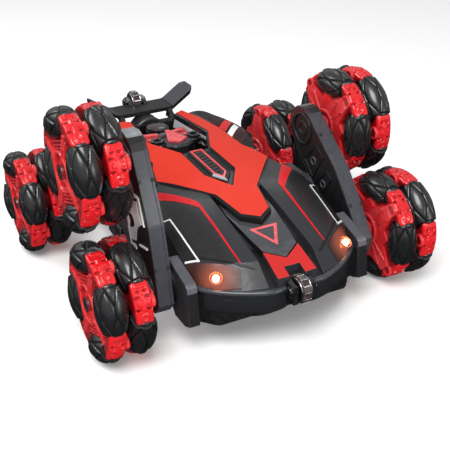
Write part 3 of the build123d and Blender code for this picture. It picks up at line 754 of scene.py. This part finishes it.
def build_arms():
    for side in SIDES:
        for part, drawn, materials, slot, bevel, replaces in (
                ("inner_skin", arm_inner_skin(), [ARM, ARM_BLACK_AND_SHADE, CAP_BROWN, CAP_HIGHLIGHT],
                 "arm_charcoal", 0.55, [f"{side}_arm_inner_cover"]),
                ("outer_skin", arm_outer_skin(), [ARM, ARM_BLACK_AND_SHADE, PANEL, CAP_HIGHLIGHT],
                 "arm_charcoal", 0.55, [f"{side}_arm_outer_cover"]),
                ("side_panel", arm_side_panel(), [PALE, WHITE, SLOT_SHADE], "side_grey", 0.2, [])):
            shape = on_side(Shape().join(drawn, arm_place(side)), side)
            make(f"{side}_arm_{part}", shape, materials, f"{side}_arm", bevel,
                 replaces=replaces)


build_arms()


# ---- body surface
# Sections (y, z) across the body: bumper edge, brow, fender top, waist, tail. One list for the
# sunken channel in the middle, the others at growing distance from it.
channel_half = 19.4
channel_section = [(-132, 40), (-132, 46), (-118, 54), (-78, 66), (-26, 75), (50, 77),
                   (106, 77), (118, 62), (122, 40)]
fender_sections = {
    20: [(-134, 40), (-133, 48), (-118.5, 60.5), (-57, 76), (-20, 78.5), (50, 79.5),
         (106, 78), (118, 62), (122, 40)],
    36: [(-127.5, 40), (-126.5, 47), (-114, 60.5), (-57, 77), (-20, 79), (50, 81.5),
         (106, 77.5), (117, 62), (121, 40)],
    50: [(-117.5, 40), (-116.5, 46), (-106, 58.8), (-57, 74.5), (-20, 78), (50, 82.4),
         (104, 77), (114, 62), (117, 40)],
    60: [(-105, 40), (-104, 45.5), (-96.5, 56), (-57, 69.5), (-20, 72), (50, 77),
         (96, 70), (106, 58), (108, 40)],
}
brow_row, tail_row = 2, 6         # between these the section is a smooth curve


def between_stations(x):
    """The nine points of the section at a distance from the middle."""
    if x <= channel_half:
        return [np.array(p, float) for p in channel_section]
    places = sorted(fender_sections)
    points = []
    for row in range(len(channel_section)):
        total = np.zeros(2)
        for a in places:
            share = 1.0
            for b in places:
                if a != b:
                    share *= (x - b) / (a - b)
            total += share * np.array(fender_sections[a][row], float)
        points.append(total)
    return points


def curve(points, steps):
    """Catmull-Rom curve through points."""
    pts = [np.array(p, float) for p in points]
    ends = [2 * pts[0] - pts[1]] + pts + [2 * pts[-1] - pts[-2]]
    line = []
    for i in range(1, len(ends) - 2):
        p0, p1, p2, p3 = ends[i - 1:i + 3]
        for k in range(steps):
            t = k / steps
            line.append(0.5 * (2 * p1 + (p2 - p0) * t + (2 * p0 - 5 * p1 + 4 * p2 - p3) * t ** 2
                               + (3 * p1 - p0 - 3 * p2 + p3) * t ** 3))
    return line + [pts[-1]]


def section(x):
    """Dense (y, z) line of the body's surface at a distance from the middle."""
    rows = between_stations(abs(x))
    return rows[:brow_row] + curve(rows[brow_row:tail_row + 1], 8) + rows[tail_row + 1:]


@lru_cache(maxsize=None)
def kept_section(x):
    return tuple(zip(*section(x)))


def body_height(x, y):
    """Height of the body's surface above a place in the plan."""
    return float(np.interp(y, *kept_section(round(abs(x), 2))))


def carve(shape, *cutters):
    """Shape with other closed shapes cut out of it."""
    work, *tools = (placed("carving", to_mesh("carving", drawn)) for drawn in (shape, *cutters))
    for tool in tools:
        step = work.modifiers.new("cut", "BOOLEAN")
        step.operation = "DIFFERENCE"
        step.solver = "EXACT"
        step.object = tool
    bpy.context.view_layer.update()
    cut = work.evaluated_get(bpy.context.evaluated_depsgraph_get()).to_mesh()
    result = Shape([v.co / MM for v in cut.vertices], [p.vertices for p in cut.polygons])
    for thing in (work, *tools):
        bpy.data.objects.remove(thing)
    return result


def draped(outline, height, thickness, lift=0.0, step=5.0, mark=0):
    """Plate with an (x, y) outline that follows a height function, with a flat-cut underside."""
    sheet = bmesh.new()
    face = sheet.faces.new([sheet.verts.new((x, y, 0)) for x, y in outline])
    face.normal_update()
    if face.normal.z < 0:
        face.normal_flip()
    for axis in (0, 1):
        low = min(p[axis] for p in outline)
        high = max(p[axis] for p in outline)
        normal = (1, 0, 0) if axis == 0 else (0, 1, 0)
        parts = int((high - low) / step) + 1
        for k in range(1, parts):
            at = [0, 0, 0]
            at[axis] = low + (high - low) * k / parts
            everything = sheet.verts[:] + sheet.edges[:] + sheet.faces[:]
            bmesh.ops.bisect_plane(sheet, geom=everything, plane_co=at, plane_no=normal)
    sheet.verts.index_update()
    plan = [(v.co.x, v.co.y) for v in sheet.verts]
    faces = [[v.index for v in f.verts] for f in sheet.faces]
    rim = [(e.link_loops[0].vert.index, e.link_loops[0].link_loop_next.vert.index)
           for e in sheet.edges if len(e.link_loops) == 1]
    sheet.free()
    count = len(plan)
    top = [(x, y, height(x, y) + lift) for x, y in plan]
    low = [(x, y, z - thickness) for x, y, z in top]
    faces += [[count + i for i in f[::-1]] for f in faces]
    faces += [[a, count + a, count + b, b] for a, b in rim]
    return Shape(top + low, faces, mark)


def edged(outline, height, thickness, lift=0.0, step=5.0):
    """Draped plate whose sides and underside take the second material."""
    shape = draped(outline, height, thickness, lift, step)
    top = sum(1 for face in shape.faces if max(face) < len(shape.verts) // 2)
    shape.marks = [0] * top + [1] * (len(shape.faces) - top)
    return shape


def quads_between(outer, inner):
    """Four-cornered pieces of the band between two outlines of equal point counts."""
    return [[a, b, d, c] for a, b, c, d in zip(outer, outer[1:] + outer[:1],
                                               inner, inner[1:] + inner[:1])]


def symmetric(half):
    """Whole outline from its right half, whose end points lie on the middle line."""
    return half + [(-x, y) for x, y in reversed(half) if x > 0.01]


def ribbon(path, width):
    """(x, y) outline of a band along a path; width may be one value or one for each point."""
    widths = width if isinstance(width, (list, tuple)) else [width] * len(path)
    points = [np.array(p, float) for p in path]
    runs = [(b - a) / np.linalg.norm(b - a) for a, b in zip(points, points[1:])]
    left, right = [], []
    for i, point in enumerate(points):
        first, second = (np.array([-run[1], run[0]])
                         for run in (runs[max(0, i - 1)], runs[min(i, len(runs) - 1)]))
        side = (first + second) / (1 + first @ second) * widths[i] / 2
        left.append(tuple(point + side))
        right.append(tuple(point - side))
    return left + right[::-1]


lens_outline = [(32.5, -118.5), (36, -125.8), (46, -119.8), (55, -110.2), (59.6, -103),
                (59.8, -95.5), (52.4, -102.2), (43, -110.5)]
axle_cuts = ((-83, 15.0), (83, 9.4))      # (y, radius) of the openings round the axles
axle_height = 40.0
waist_cut = [(44.6, -16.6), (49.9, -27.3), (56, -30.6), (75, -30.6), (75, 37), (51.2, 37),
             (50.4, 33), (47.2, 19.4), (42.6, 1), (44.2, -12)]


def body_shell():
    """Charcoal cover: fenders on both sides of a sunken channel, open over the engine bay."""
    stations = [channel_half * k / 4 for k in range(5)] + [20 + 2 * k for k in range(21)]
    stations = [-x for x in reversed(stations[1:])] + stations
    rings = [[(x, p[0], p[1]) for p in section(x)] for x in stations]
    shape = loft([ring[::-1] for ring in rings])
    bay = box((-24, 24), (17, 100), (50, 95))
    notch = box((-8.5, 8.5), (-150, -128), (30, 70))
    cuts = [bay, notch]
    for side, sign in SIDES.items():
        for y, radius in axle_cuts:
            drum = on_side(lathe([(59.2, radius), (75, radius)], "x", 64), side)
            cuts.append(Shape().join(drum, move(y=y, z=axle_height)))
        cuts.append(prism([(sign * x, y) for x, y in waist_cut], 44, 95))
    return carve(shape, *cuts)


make("body_shell_skin", body_shell(), [BODY], bevel=0.9, segments=3,
     replaces=["upper_shell"])


# ---- trim on the body
def fender_trim():
    """Coloured inserts, pinstripes and outlines of the right fender: name, material, shape."""
    return [
        ("dark_insert", PANEL,
         draped([(32.5, -116), (33.2, -57), (52.5, -32), (58.5, -32), (58.5, -60), (56.5, -94),
                 (50, -101)], body_height, 0.5, 0.2)),
        ("black_insert", BLACK,
         draped([(56.5, -53), (59.4, -56), (59.4, -93), (54.4, -97.2), (55.2, -60)],
                body_height, 0.5, 0.42, 4.0)),
        ("pinstripe", STRIPE,
         draped(ribbon([(31.2, -116.0), (31.5, -85), (32.2, -58)], [1.0, 1.5, 2.2]),
                body_height, 0.6, 0.35, 4.0)),
        ("red_band", STRIPE,
         draped([(31.0, -60.4), (31.3, -54.6), (49.4, -28.6), (56, -28.6), (56, -33.6),
                 (33.2, -60.6)], body_height, 0.6, 0.38, 4.0)),
        ("white_outline", WHITE,
         draped(ribbon([(59.6, -57.4), (54.5, -60.0), (52.6, -99.4), (59.7, -93.6)], 0.9),
                body_height, 0.6, 0.6, 4.0)),
    ]


def flank_trim():
    """Bands across the rear flank."""
    bands = [((11, 25.5), STRIPE_SOFT), ((27, 34.8), WHITE), ((38.5, 49.5), STRIPE),
             ((51.5, 64), STRIPE_SOFT)]
    slant = 17.0                  # each band's outer end stands this much further back
    base = [(37.6, 2), (46, 8), (52.6, 30), (54.5, 104), (40, 104)]
    pieces = [(draped(base, body_height, 0.5, 0.15, 4.0), FLANK)]
    for (near, far), material in bands:
        outline = [(38.2, near + 2), (52.0, near + slant), (52.0, far + slant), (38.2, far + 2)]
        pieces.append((draped(outline, body_height, 0.5, 0.3, 4.0), material))
    return pieces


def build_trim():
    """Trim of both fenders and both rear flanks."""
    for name, look, shape in fender_trim():
        make(f"fender_{name}", shape.both(), [look])
    for number, (shape, look) in enumerate(flank_trim(), 1):
        make(f"flank_band_{number}", shape.both(), [look])


build_trim()


# ---- hood
hood_line = ([-90, -78, -52, -26, 14, 50, 102], [71.9, 73.9, 78.4, 82.2, 84.3, 84.4, 83.6])


hood_crown, hood_half = 2.2, 45.0         # the hood falls by its crown at its half width


def hood_height(x, y):
    return float(np.interp(y, *hood_line)) - hood_crown * (x / hood_half) ** 2


hood_plan = [(0, -85.6), (10.6, -78), (15.7, -52), (44.7, -16), (40.5, 1), (36.5, 10), (37, 50),
             (33.5, 80), (28, 101.5), (20.5, 97), (25.6, 46), (12.3, 14.5), (12.5, -26), (0, -46.5)]


def build_hood():
    outline = symmetric(hood_plan)
    make("hood_skin", edged(outline, hood_height, 1.5), [HOOD, BODY], bevel=0.45,
         replaces=["hood_panel"])
    make("hood_rim", draped(inset(outline, -1.5), hood_height, 6.6, -1.3, 6.0), [BLACK], bevel=0.3)


build_hood()


# ---- nose
def channel_height(x, y):
    return float(np.interp(y, *zip(*channel_section[1:8])))


def nose_height(x, y):
    return float(np.interp(y, [-134, -112, -80, -40], [53.2, 61.6, 68.6, 75.4]))


def build_nose():
    """Raised deck, red chevron and triangle, and a black sheet of painted shade on the floor of the
    channel behind them.
    """
    panel = symmetric([(0, -119.6), (12.6, -111.2), (14.6, -97), (17.4, -70), (16, -50), (0, -50)])
    make("nose_deck", edged(panel, nose_height, 5.5), [DECK, BLACK],
         bevel=0.5)
    chevron = symmetric([(0, -120.4), (13.2, -112), (14.2, -133.8), (5.6, -134), (5.6, -126.5),
                         (0, -126.5)])
    make("nose_chevron_skin", edged(chevron, nose_height, 6.5, 0.25), [NOSE_RED, BODY],
         bevel=0.45, replaces=["nose_panel"])
    outer = [(0, -109.2), (10.4, -88.8), (-10.4, -88.8)]
    inner = [(0, -104.6), (6.9, -90.9), (-6.9, -90.9)]
    triangle = Shape()
    for quad in quads_between(outer, inner):
        triangle.join(draped(quad, nose_height, 0.6, 0.2))
    make("nose_triangle", triangle, [GRILLE])
    # Black sheet on the channel floor: painted shade of the deep groove beside the deck.
    floor = draped(symmetric([(0, -132.5), (19, -132.5), (19, -40), (0, -40)]), channel_height,
                   0.8, 0.35)
    make("channel_shade_sheet", floor, [BLACK])


lamp_place = (48.4, -115.2, 54.0)


def lamp_lens():
    """Smoked headlight lens: brown plastic that glows round the lamp behind it."""
    material = plastic("lens_glow", "3A211D", 0.3, depth=0.004, specular=0.3)
    nodes, links = material.node_tree.nodes, material.node_tree.links
    shader = nodes["Principled BSDF"]
    where = nodes.new("ShaderNodeTexCoord")
    fold = nodes.new("ShaderNodeVectorMath")
    fold.operation = "ABSOLUTE"
    links.new(where.outputs["Object"], fold.inputs[0])
    away = nodes.new("ShaderNodeVectorMath")
    away.operation = "DISTANCE"
    links.new(fold.outputs["Vector"], away.inputs[0])
    away.inputs[1].default_value = [abs(c) * MM for c in lamp_place]
    fade = nodes.new("ShaderNodeMapRange")
    fade.interpolation_type = "SMOOTHERSTEP"
    strength = join_range(fade, links, away.outputs["Value"], (0.001, 0.019, 1.0, 0.0))
    power = nodes.new("ShaderNodeMath")
    power.operation = "MULTIPLY"
    power.inputs[1].default_value = 0.55
    links.new(strength, power.inputs[0])
    links.new(power.outputs[0], shader.inputs["Emission Strength"])
    shader.inputs["Emission Color"].default_value = srgb("C96A50")
    return material


def build_headlights():
    lens = draped(lens_outline, body_height, 1.6, 0.75, 2.0)
    make("headlight_lens_skin", lens.both(), [lamp_lens()], bevel=0.3,
         replaces=["headlight_lenses"])
    x, y, z = lamp_place
    tilt = move(x, y, z) @ turn(34) @ turn(12, "Y")
    bowl = Shape().join(tube_ring(4.3, 3.8, -0.4, 1.3, 40, 0.1, 0, "z"), tilt)
    make("headlight_bezel", bowl.both(), [LENS_RIM])
    dome = [(-1.0, 2.3)] + [(0.9 + 1.2 * sin(a), 2.3 * cos(a)) for a in np.linspace(0, 1.45, 7)]
    lamp = Shape().join(lathe(dome, "z", 32), tilt)
    make("headlight_lamp_skin", lamp.both(), [GLOW], replaces=["headlight_leds"])
    lip = draped(ribbon([(60, -92.4), (52, -97), (42, -107.4), (31.5, -116.6), (24, -121.5)],
                        [0.6, 1.3, 1.4, 1.3, 0.5]), body_height, 0.9, 0.5, 4.0)
    make("headlight_lip", lip.both(), [BLACK], bevel=0.2)


def build_bumper():
    """Curved front wall with a rounded lip under the lens."""
    plan = curve([(8.9, -135.4), (20, -135.3), (36, -127.8), (50, -117.7), (58.7, -108.2),
                  (61.1, -101.2)], 8)
    upright_from, lip_from = 32.4, 44.1     # heights where the upright wall and its lip begin
    kept_slope = 3.0                        # deeper points than this are set straight back
    levels = [(21.5, 13.0), (26.5, 6.5), (32.3, 0.0), (44.2, 0.0), (44.6, -0.9), (45.8, -1.25),
              (46.9, -0.7), (47.3, 0.6), (47.0, 2.6), (40, 2.6), (32.5, 2.6), (26, 9.0)]
    rings = []
    for i, point in enumerate(plan):
        run = plan[min(len(plan) - 1, i + 1)] - plan[max(0, i - 1)]
        inward = np.array([-run[1], run[0]]) / hypot(*run)
        ring = []
        for z, depth in levels:
            straight_back = z <= upright_from and depth >= kept_slope
            x, y = point + (np.array([0, depth]) if straight_back else inward * depth)
            ring.append((x, y, z))
        rings.append(ring)
    # Faces of the lip above its foot take the lighter grey as painted highlight.
    shape = mark_by(loft(rings), lambda face: len(face) == 4 and face[:, 2].min() >= lip_from)
    make("bumper_skin", shape.both(), [BUMPER, BUMPER_LIP_HIGHLIGHT], sharp=50)


def guard_light_mark(corners):
    """Dark ends and edges, with painted highlight on the top and the upper slopes."""
    if len(corners) > 4:
        return 1
    lowest = corners[:, 2].min()
    if lowest > 49 and np.ptp(corners[:, 1]) > 10:
        return 2
    return 3 if lowest > 45 else 0


def build_guards():
    """Corner guard in front of each arm."""
    outline = [(-84, 59.4), (-110.8, 52.2), (-112.7, 50.6), (-113.6, 46.4), (-115.9, 23.3),
               (-108, 19.6), (-92, 19.6), (-84, 29.6)]
    shape = mark_by(prism(outline, 60.2, 67.9, "x"), guard_light_mark)
    make("corner_guard_skin", shape.both(), [PANEL, BODY, GUARD_TOP_HIGHLIGHT, FACET_HIGHLIGHT], bevel=0.9, segments=3)


# ---- vent in the hood
vent_depth = 2.2


def vent_height(x, y):
    return hood_height(0, y) - vent_depth


def build_vent():
    """Dark vent let into the hood, with its red outline, slats, front block and side slots."""
    panel = draped(symmetric([(0, -46.7), (12.3, -26.3), (12.1, 16.5), (0, 16.5)]), vent_height,
                   4.0)
    make("vent_skin", panel, [PANEL], bevel=0.3, replaces=["hood_vent"])
    frame = draped(symmetric([(0, -36.2), (6.6, -27), (6.4, 15.5), (0, 15.5)]),
                   vent_height, 1.6, 1.3)
    make("vent_frame", frame, [BLACK], bevel=0.3)
    outline = symmetric([(0, -33.6), (5.0, -26.4), (4.9, 14.6), (0, 14.6)])
    line = Shape()
    for quad in quads_between(outline, inset(outline, 1.45)):
        line.join(draped(quad, vent_height, 0.9, 1.8))
    make("vent_outline", line, [GRILLE], bevel=0.15)
    slats = Shape()
    for i in range(8):
        y = -25.2 + 4.7 * i
        slats.join(draped([(-2.7, y), (2.7, y + 1.6), (2.7, y + 3.0), (-2.7, y + 1.4)],
                          vent_height, 0.9, 1.75))
    make("vent_slats", slats, [BODY], bevel=0.12)
    block = Shape()
    # The left half is light grey and the right half black: painted light on the left facet, painted
    # shade on the right.
    for mark, sign in enumerate((-1, 1)):
        half = [(0, -34.4), (sign * 5.4, -26.9), (sign * 7.4, -28.4), (0, -38.4)]
        block.join(draped(half[::sign], vent_height, 1.2, 2.1, mark=mark))
    make("vent_front_block", block, [GREY, BLACK], bevel=0.2)
    # The side slots are black sheets of painted shade.
    slots = draped([(7.6, -27), (10.9, -22.5), (10.6, 9.5), (7.8, 12.5)], vent_height, 0.5, 0.25)
    make("vent_side_slots", slots.both(), [SLOT_SHADE])


# ---- engine bay
def octagon(half_x, half_y, cut, centre_y=0.0):
    half = [(0, -half_y), (half_x - cut, -half_y), (half_x, -half_y + cut),
            (half_x, half_y - cut), (half_x - cut, half_y), (0, half_y)]
    return [(x, y + centre_y) for x, y in symmetric(half)]


scoop_y = 51.0
post_x, post_y = 15.3, 52.0
dome_y = 89.5
drum_x, drum_z = -1.5, 67.2
wall_foot = 71.5                  # height where the bay's walls end
wall_gap = 1.2                    # from the walls' upper edge to the hood's surface


def build_scoop():
    """Eight-sided scoop with the shield on its top, and a small box beside it."""
    rings = [[(x, y, z) for x, y in octagon(10.8 + grow, 12.2 + grow, 5.4, scoop_y)]
             for z, grow in ((65, 0), (76.2, 0), (76.8, 0.5), (78.4, 0.5), (80.2, -0.6))]
    make("scoop_skin", loft(rings), [BUMPER], bevel=0.5, segments=3)
    shield = [(0, 43), (7.2, 48), (0.9, 68.5), (-0.9, 68.5), (-7.2, 48)]
    make("scoop_rim", prism(inset(shield, 1.7), 76, 80.9), [PANEL], bevel=0.35)
    make("scoop_line", prism(shield, 79.8, 81.3), [PINK])
    make("scoop_inset", prism(inset(shield, -0.7), 79.8, 81.6), [GRILLE], bevel=0.15)
    side_box = prism([(-10.8, 57), (-4.2, 60.2), (-3.2, 65.6), (-9.8, 64)], 66, 81.8)
    make("scoop_side_box", side_box, [ARM], bevel=0.6)


def star(count, tip, root):
    """Outline with rounded points, such as a bolt head's socket."""
    points = []
    for i in range(count * 6):
        angle = 2 * pi * i / (count * 6)
        radius = (tip + root) / 2 + (tip - root) / 2 * cos(count * angle)
        points.append((radius * cos(angle), radius * sin(angle)))
    return points


def build_posts():
    post = lathe([(65, 5.2), (75.2, 5.2), (75.8, 6.1), (77.8, 6.5), (79.1, 6.1), (79.4, 3.4)],
                 "z", 48)
    post.join(prism(circle(6.8, 6, 15), 76.2, 78.7))
    for quad in quads_between(star(6, 5.7, 4.6), star(6, 3.4, 2.3)):
        post.join(prism(quad, 78.8, 81.6))
    pair = Shape().join(post, move(x=post_x, y=post_y)).join(post, move(x=-post_x, y=post_y))
    make("bay_posts_skin", pair, [GLOSS], bevel=0.3)


def bay_wall(edge, foot, back, mark=0):
    """Wall from the hood's rim down to the bay, leaning by foot and as thick as back."""
    rings = []
    for x, y in edge:
        top, base = (x, y, hood_height(x, y) - wall_gap), (x + foot[0], y + foot[1], wall_foot)
        rings.append([top, base] + [(px + back[0], py + back[1], pz) for px, py, pz in (base, top)])
    return loft(rings, mark=mark)


def build_bay():
    """Dome, drum, red grilles, floor and walls of the engine bay."""
    dome = [(66, 8.4), (75.6, 8.9), (77.3, 8.9), (78.2, 8.3), (78.8, 6.5), (79.1, 3.5), (79.2, 0.4)]
    rim = [(66, 9.3), (73.8, 9.6), (75.2, 9.6), (75.7, 9.2)]
    disc = lathe(rim, "z", 56, mark=1).join(lathe(dome, "z", 56))
    make("bay_dome_skin", Shape().join(disc, move(y=dome_y)), [BROWN, BLACK], bevel=0.3)
    drum = lathe([(100, 11.4), (100, 13.4), (100.8, 14.4), (103.1, 14.4), (103.7, 13.6),
                  (116.6, 13.6), (117.6, 12.6), (117.6, 4)], "y", 72)
    make("bay_drum", Shape().join(drum, move(x=drum_x, z=drum_z)), [BUMPER],
         bevel=0.3)
    slats = Shape()
    for y, z in ((63.6, 76.6), (72.2, 77.4)):
        outline = [(5.6, y), (18.6, y + 3), (18.6, y + 7), (5.6, y + 4)]
        slats.join(prism(outline, z - 3.2, z))
        slats.join(prism([(px * 0.98, py + 3.8) for px, py in outline], z - 6, z - 1.6, "z", 1))
    make("bay_grilles_skin", slats.both(), [GRILLE, BLACK], bevel=0.35,
         replaces=["engine_grilles"])
    floor = box((-21.5, 21.5), (19.5, 98.5), (64.5, 66.5))
    make("bay_floor", floor, [BLACK], bevel=0.3)
    wall = bay_wall([(25.2, 46.5), (22.9, 72), (20.3, 96.8)], (-3.4, -0.5), (1.2, 0))
    wall.join(bay_wall([(25.2, 46.5), (12.4, 15.4)], (-2.0, 1.2), (1, -1), mark=1))
    make("bay_walls", wall.both(), [GREY, PANEL], bevel=0.3)


# ---- wing and the two small rollers
def lug(outline, far, boss, boss_y, boss_z):
    """Ear beside a tip roller, from its outline, with the boss of the roller's axle."""
    return prism(outline, 4.7, far, "x").join(lathe(boss, "x", 40), move(y=boss_y, z=boss_z))


def build_wing():
    """Rear wing with raised ends, its two struts and the ears of the rear tip roller."""
    flat, tip_x, low_y, high_y = 24.0, 44.4, 111.5, 134.8
    cut_x, cut_y = 3.4, 4.6

    def height(x, y):
        return 84.0 + max(0.0, abs(x) - flat) * 12.5 / 19

    half = [(0, low_y), (tip_x - cut_x, low_y), (tip_x, low_y + cut_y), (tip_x, high_y - cut_y),
            (tip_x - cut_x, high_y), (8.6, high_y), (8.6, 128.3), (0, 128.3)]
    blade = edged(symmetric(half), height, 3.2, 0.05, 2.0)
    blade.marks = [int(mark or abs(blade.verts[face].mean(axis=0)[0]) <= flat)
                   for face, mark in zip(blade.faces, blade.marks)]
    strut = prism([(104, 75.5), (112.5, 75.5), (121.5, 83.4), (112.4, 83.4)], 19.6, 23.4, "x")
    strut.join(prism([(101.5, 76.0), (104.5, 78.4), (114, 78.4), (115.2, 75.4)], 18.8, 24.2, "x"))
    ear = lug([(127.6, 79.2), (134.5, 79.0), (142.6, 80.4), (143.0, 86.4), (139.6, 89.0),
               (133, 87.6), (127.6, 84.6)], 8.1, [(8.0, 3.9), (9.2, 3.9), (9.7, 3.4), (9.7, 0.5)],
              138.5, 84)
    shape = blade.join(strut.both(), mark=2).join(ear.both(), mark=2)
    make("wing_skin", shape, [ARM, BLACK, GLOSS], bevel=0.45, segments=3,
         replaces=["rear_spoiler"])


def build_front_ears():
    ear = lug([(-128, 37.2), (-128, 49), (-134, 51), (-141.5, 49.6), (-143, 46), (-142.4, 40),
               (-136, 37)], 8.4, [(8.2, 4.1), (9.6, 4.1), (10.1, 3.6), (10.1, 0.5)], -138.5, 44.8)
    make("nose_ears", ear.both(), [GLOSS], bevel=0.45, segments=3)


def tip_roller_shape():
    """Chunky roller about X with twelve flats and bright rims."""
    half, flats = 3.95, 12
    shape = lathe([(-half + 0.5, 7.9), (-half + 1.3, 9.35), (half - 1.3, 9.35), (half - 0.5, 7.9)],
                  "x", flats)
    shape.join(tube_ring(8.2, 4.2, -half, -half + 1.0, 48, 0.3, 1))
    shape.join(tube_ring(8.2, 4.2, half - 1.0, half, 48, 0.3, 1))
    shape.join(lathe([(-half + 0.1, 3.2), (half - 0.1, 3.2)], "x", 32))
    rib = box((-half + 1.2, half - 1.2), (-0.45, 0.45), (8.7, 9.48), mark=1)
    for i in range(flats):
        shape.join(rib, turn(360 / flats * i + 90))
    return shape


def build_tip_rollers():
    for name, sign in (("front", -1), ("rear", 1)):
        place = joint_place[f"{name}_tip_roller_spin"]
        drawn = Shape().join(tip_roller_shape(), move(0, place[1], place[2]) @ turn(sign * 8))
        make(f"{name}_tip_roller_skin", drawn, [BROWN, CHROME],
             f"{name}_tip_roller", bevel=0.35, replaces=[f"{name}_tip_roller"])


# ---- sides
def build_sides():
    """Plain dark side plate, the stepped bracket behind each arm and the turret disc."""
    plate = [(-58, 40), (-52, 66), (-46, 71.5), (-16, 71.5), (-8, 60), (-16, 36), (-50, 34)]
    shape = prism(plate, 60.2, 64.3, "x")
    make("side_plate_skin", shape.both(), [BODY], bevel=0.4, replaces=["side_panels"])
    bracket = prism([(-12, 50), (16, 46), (36, 32), (36, 24), (18, 21.5), (-8, 23), (-14, 36)],
                    59.6, 66.2, "x")
    bracket.join(lathe([(66, 6.4), (68.2, 6.2), (68.8, 5.4), (68.8, 1)], "x", 40, mark=1),
                 move(y=8, z=35))
    make("side_bracket", bracket.both(), [BODY, GLOSS], bevel=0.8)
    disc = lathe([(60, 14.2), (68.2, 14.2), (69.2, 13.4), (69.3, 9.0)], "x", 72)
    disc.join(tube_ring(12.6, 11.4, 69.0, 69.45, 72, 0.15))
    make("turret_skin", Shape().join(disc, move(y=front_axle[0], z=front_axle[1])).both(),
         [BLACK], bevel=0.3)


for build in (build_nose, build_headlights, build_bumper, build_guards, build_vent, build_scoop,
              build_posts, build_bay, build_wing, build_front_ears, build_tip_rollers,
              build_sides):
    build()


# ---- stage
def floor():
    size = 6.0
    mesh = bpy.data.meshes.new("floor")
    mesh.from_pydata([(-size, -size, 0), (size, -size, 0), (size, size, 0), (-size, size, 0)],
                     [], [(0, 1, 2, 3)])
    ground = placed("floor", mesh)
    white = plastic("floor_white", "FFFFFF", 0.9, 300.0, 0.02, 0.0, wear=0.0, specular=0.0)
    mesh.materials.append(set_inputs(white, {"Emission Color": (1, 1, 1, 1),
                                             "Emission Strength": 0.12}))
    ground.visible_glossy = False


def soft_box(name, place, aim, size, power):
    lamp = bpy.data.lights.new(name, "AREA")
    lamp.shape = "RECTANGLE"
    lamp.size, lamp.size_y = size
    lamp.energy = power
    holder = placed(name, lamp)
    holder.location = place
    holder.rotation_mode = "QUATERNION"
    holder.rotation_quaternion = (Vector(aim) - Vector(place)).to_track_quat("-Z", "Y")


def studio():
    """White surroundings that darken below the horizon, and four soft lamps."""
    world = bpy.data.worlds.new("studio")
    world.use_nodes = True
    nodes, links = world.node_tree.nodes, world.node_tree.links
    where = nodes.new("ShaderNodeTexCoord")
    split = nodes.new("ShaderNodeSeparateXYZ")
    links.new(where.outputs["Generated"], split.inputs["Vector"])
    rise = nodes.new("ShaderNodeMapRange")
    strength = join_range(rise, links, split.outputs["Z"], (-0.06, 0.0, 0.03, 0.42))
    links.new(strength, nodes["Background"].inputs["Strength"])
    nodes["Background"].inputs["Color"].default_value = (1, 1, 1, 1)
    bpy.context.scene.world = world
    aim = (0, 0, 0.05)
    soft_box("key", (-0.49, -0.70, 1.23), aim, (0.8, 0.8), 18.0)
    soft_box("front_right", (0.50, -1.05, 0.42), aim, (0.5, 0.3), 2.0)
    soft_box("back_right", (0.47, 0.72, 0.90), aim, (0.3, 0.3), 0.5)
    soft_box("back_left", (-0.80, 0.62, 0.70), aim, (0.6, 0.4), 3.6)
    bpy.context.scene.view_settings.view_transform = "Standard"


def camera():
    """Camera at the photo's angle: azimuth, height above the horizon and roll in degrees."""
    azimuth, elevation, roll = radians(-26.3), radians(27.5), radians(-1.4)
    back = Vector((sin(azimuth) * cos(elevation), -cos(azimuth) * cos(elevation), sin(elevation)))
    right = Vector((cos(azimuth), sin(azimuth), 0))
    up = back.cross(right)
    tilted_right = right * cos(roll) + up * sin(roll)
    tilted_up = up * cos(roll) - right * sin(roll)
    view = bpy.data.cameras.new("camera")
    view.sensor_width = 36.0
    view.lens = 70.64
    view.clip_start, view.clip_end = 0.02, 50
    holder = placed("camera", view)
    axes = Matrix((tilted_right, tilted_up, back)).transposed().to_4x4()
    holder.matrix_world = Matrix.Translation((-0.253, -0.544, 0.339)) @ axes
    bpy.context.scene.camera = holder


floor()
studio()
camera()
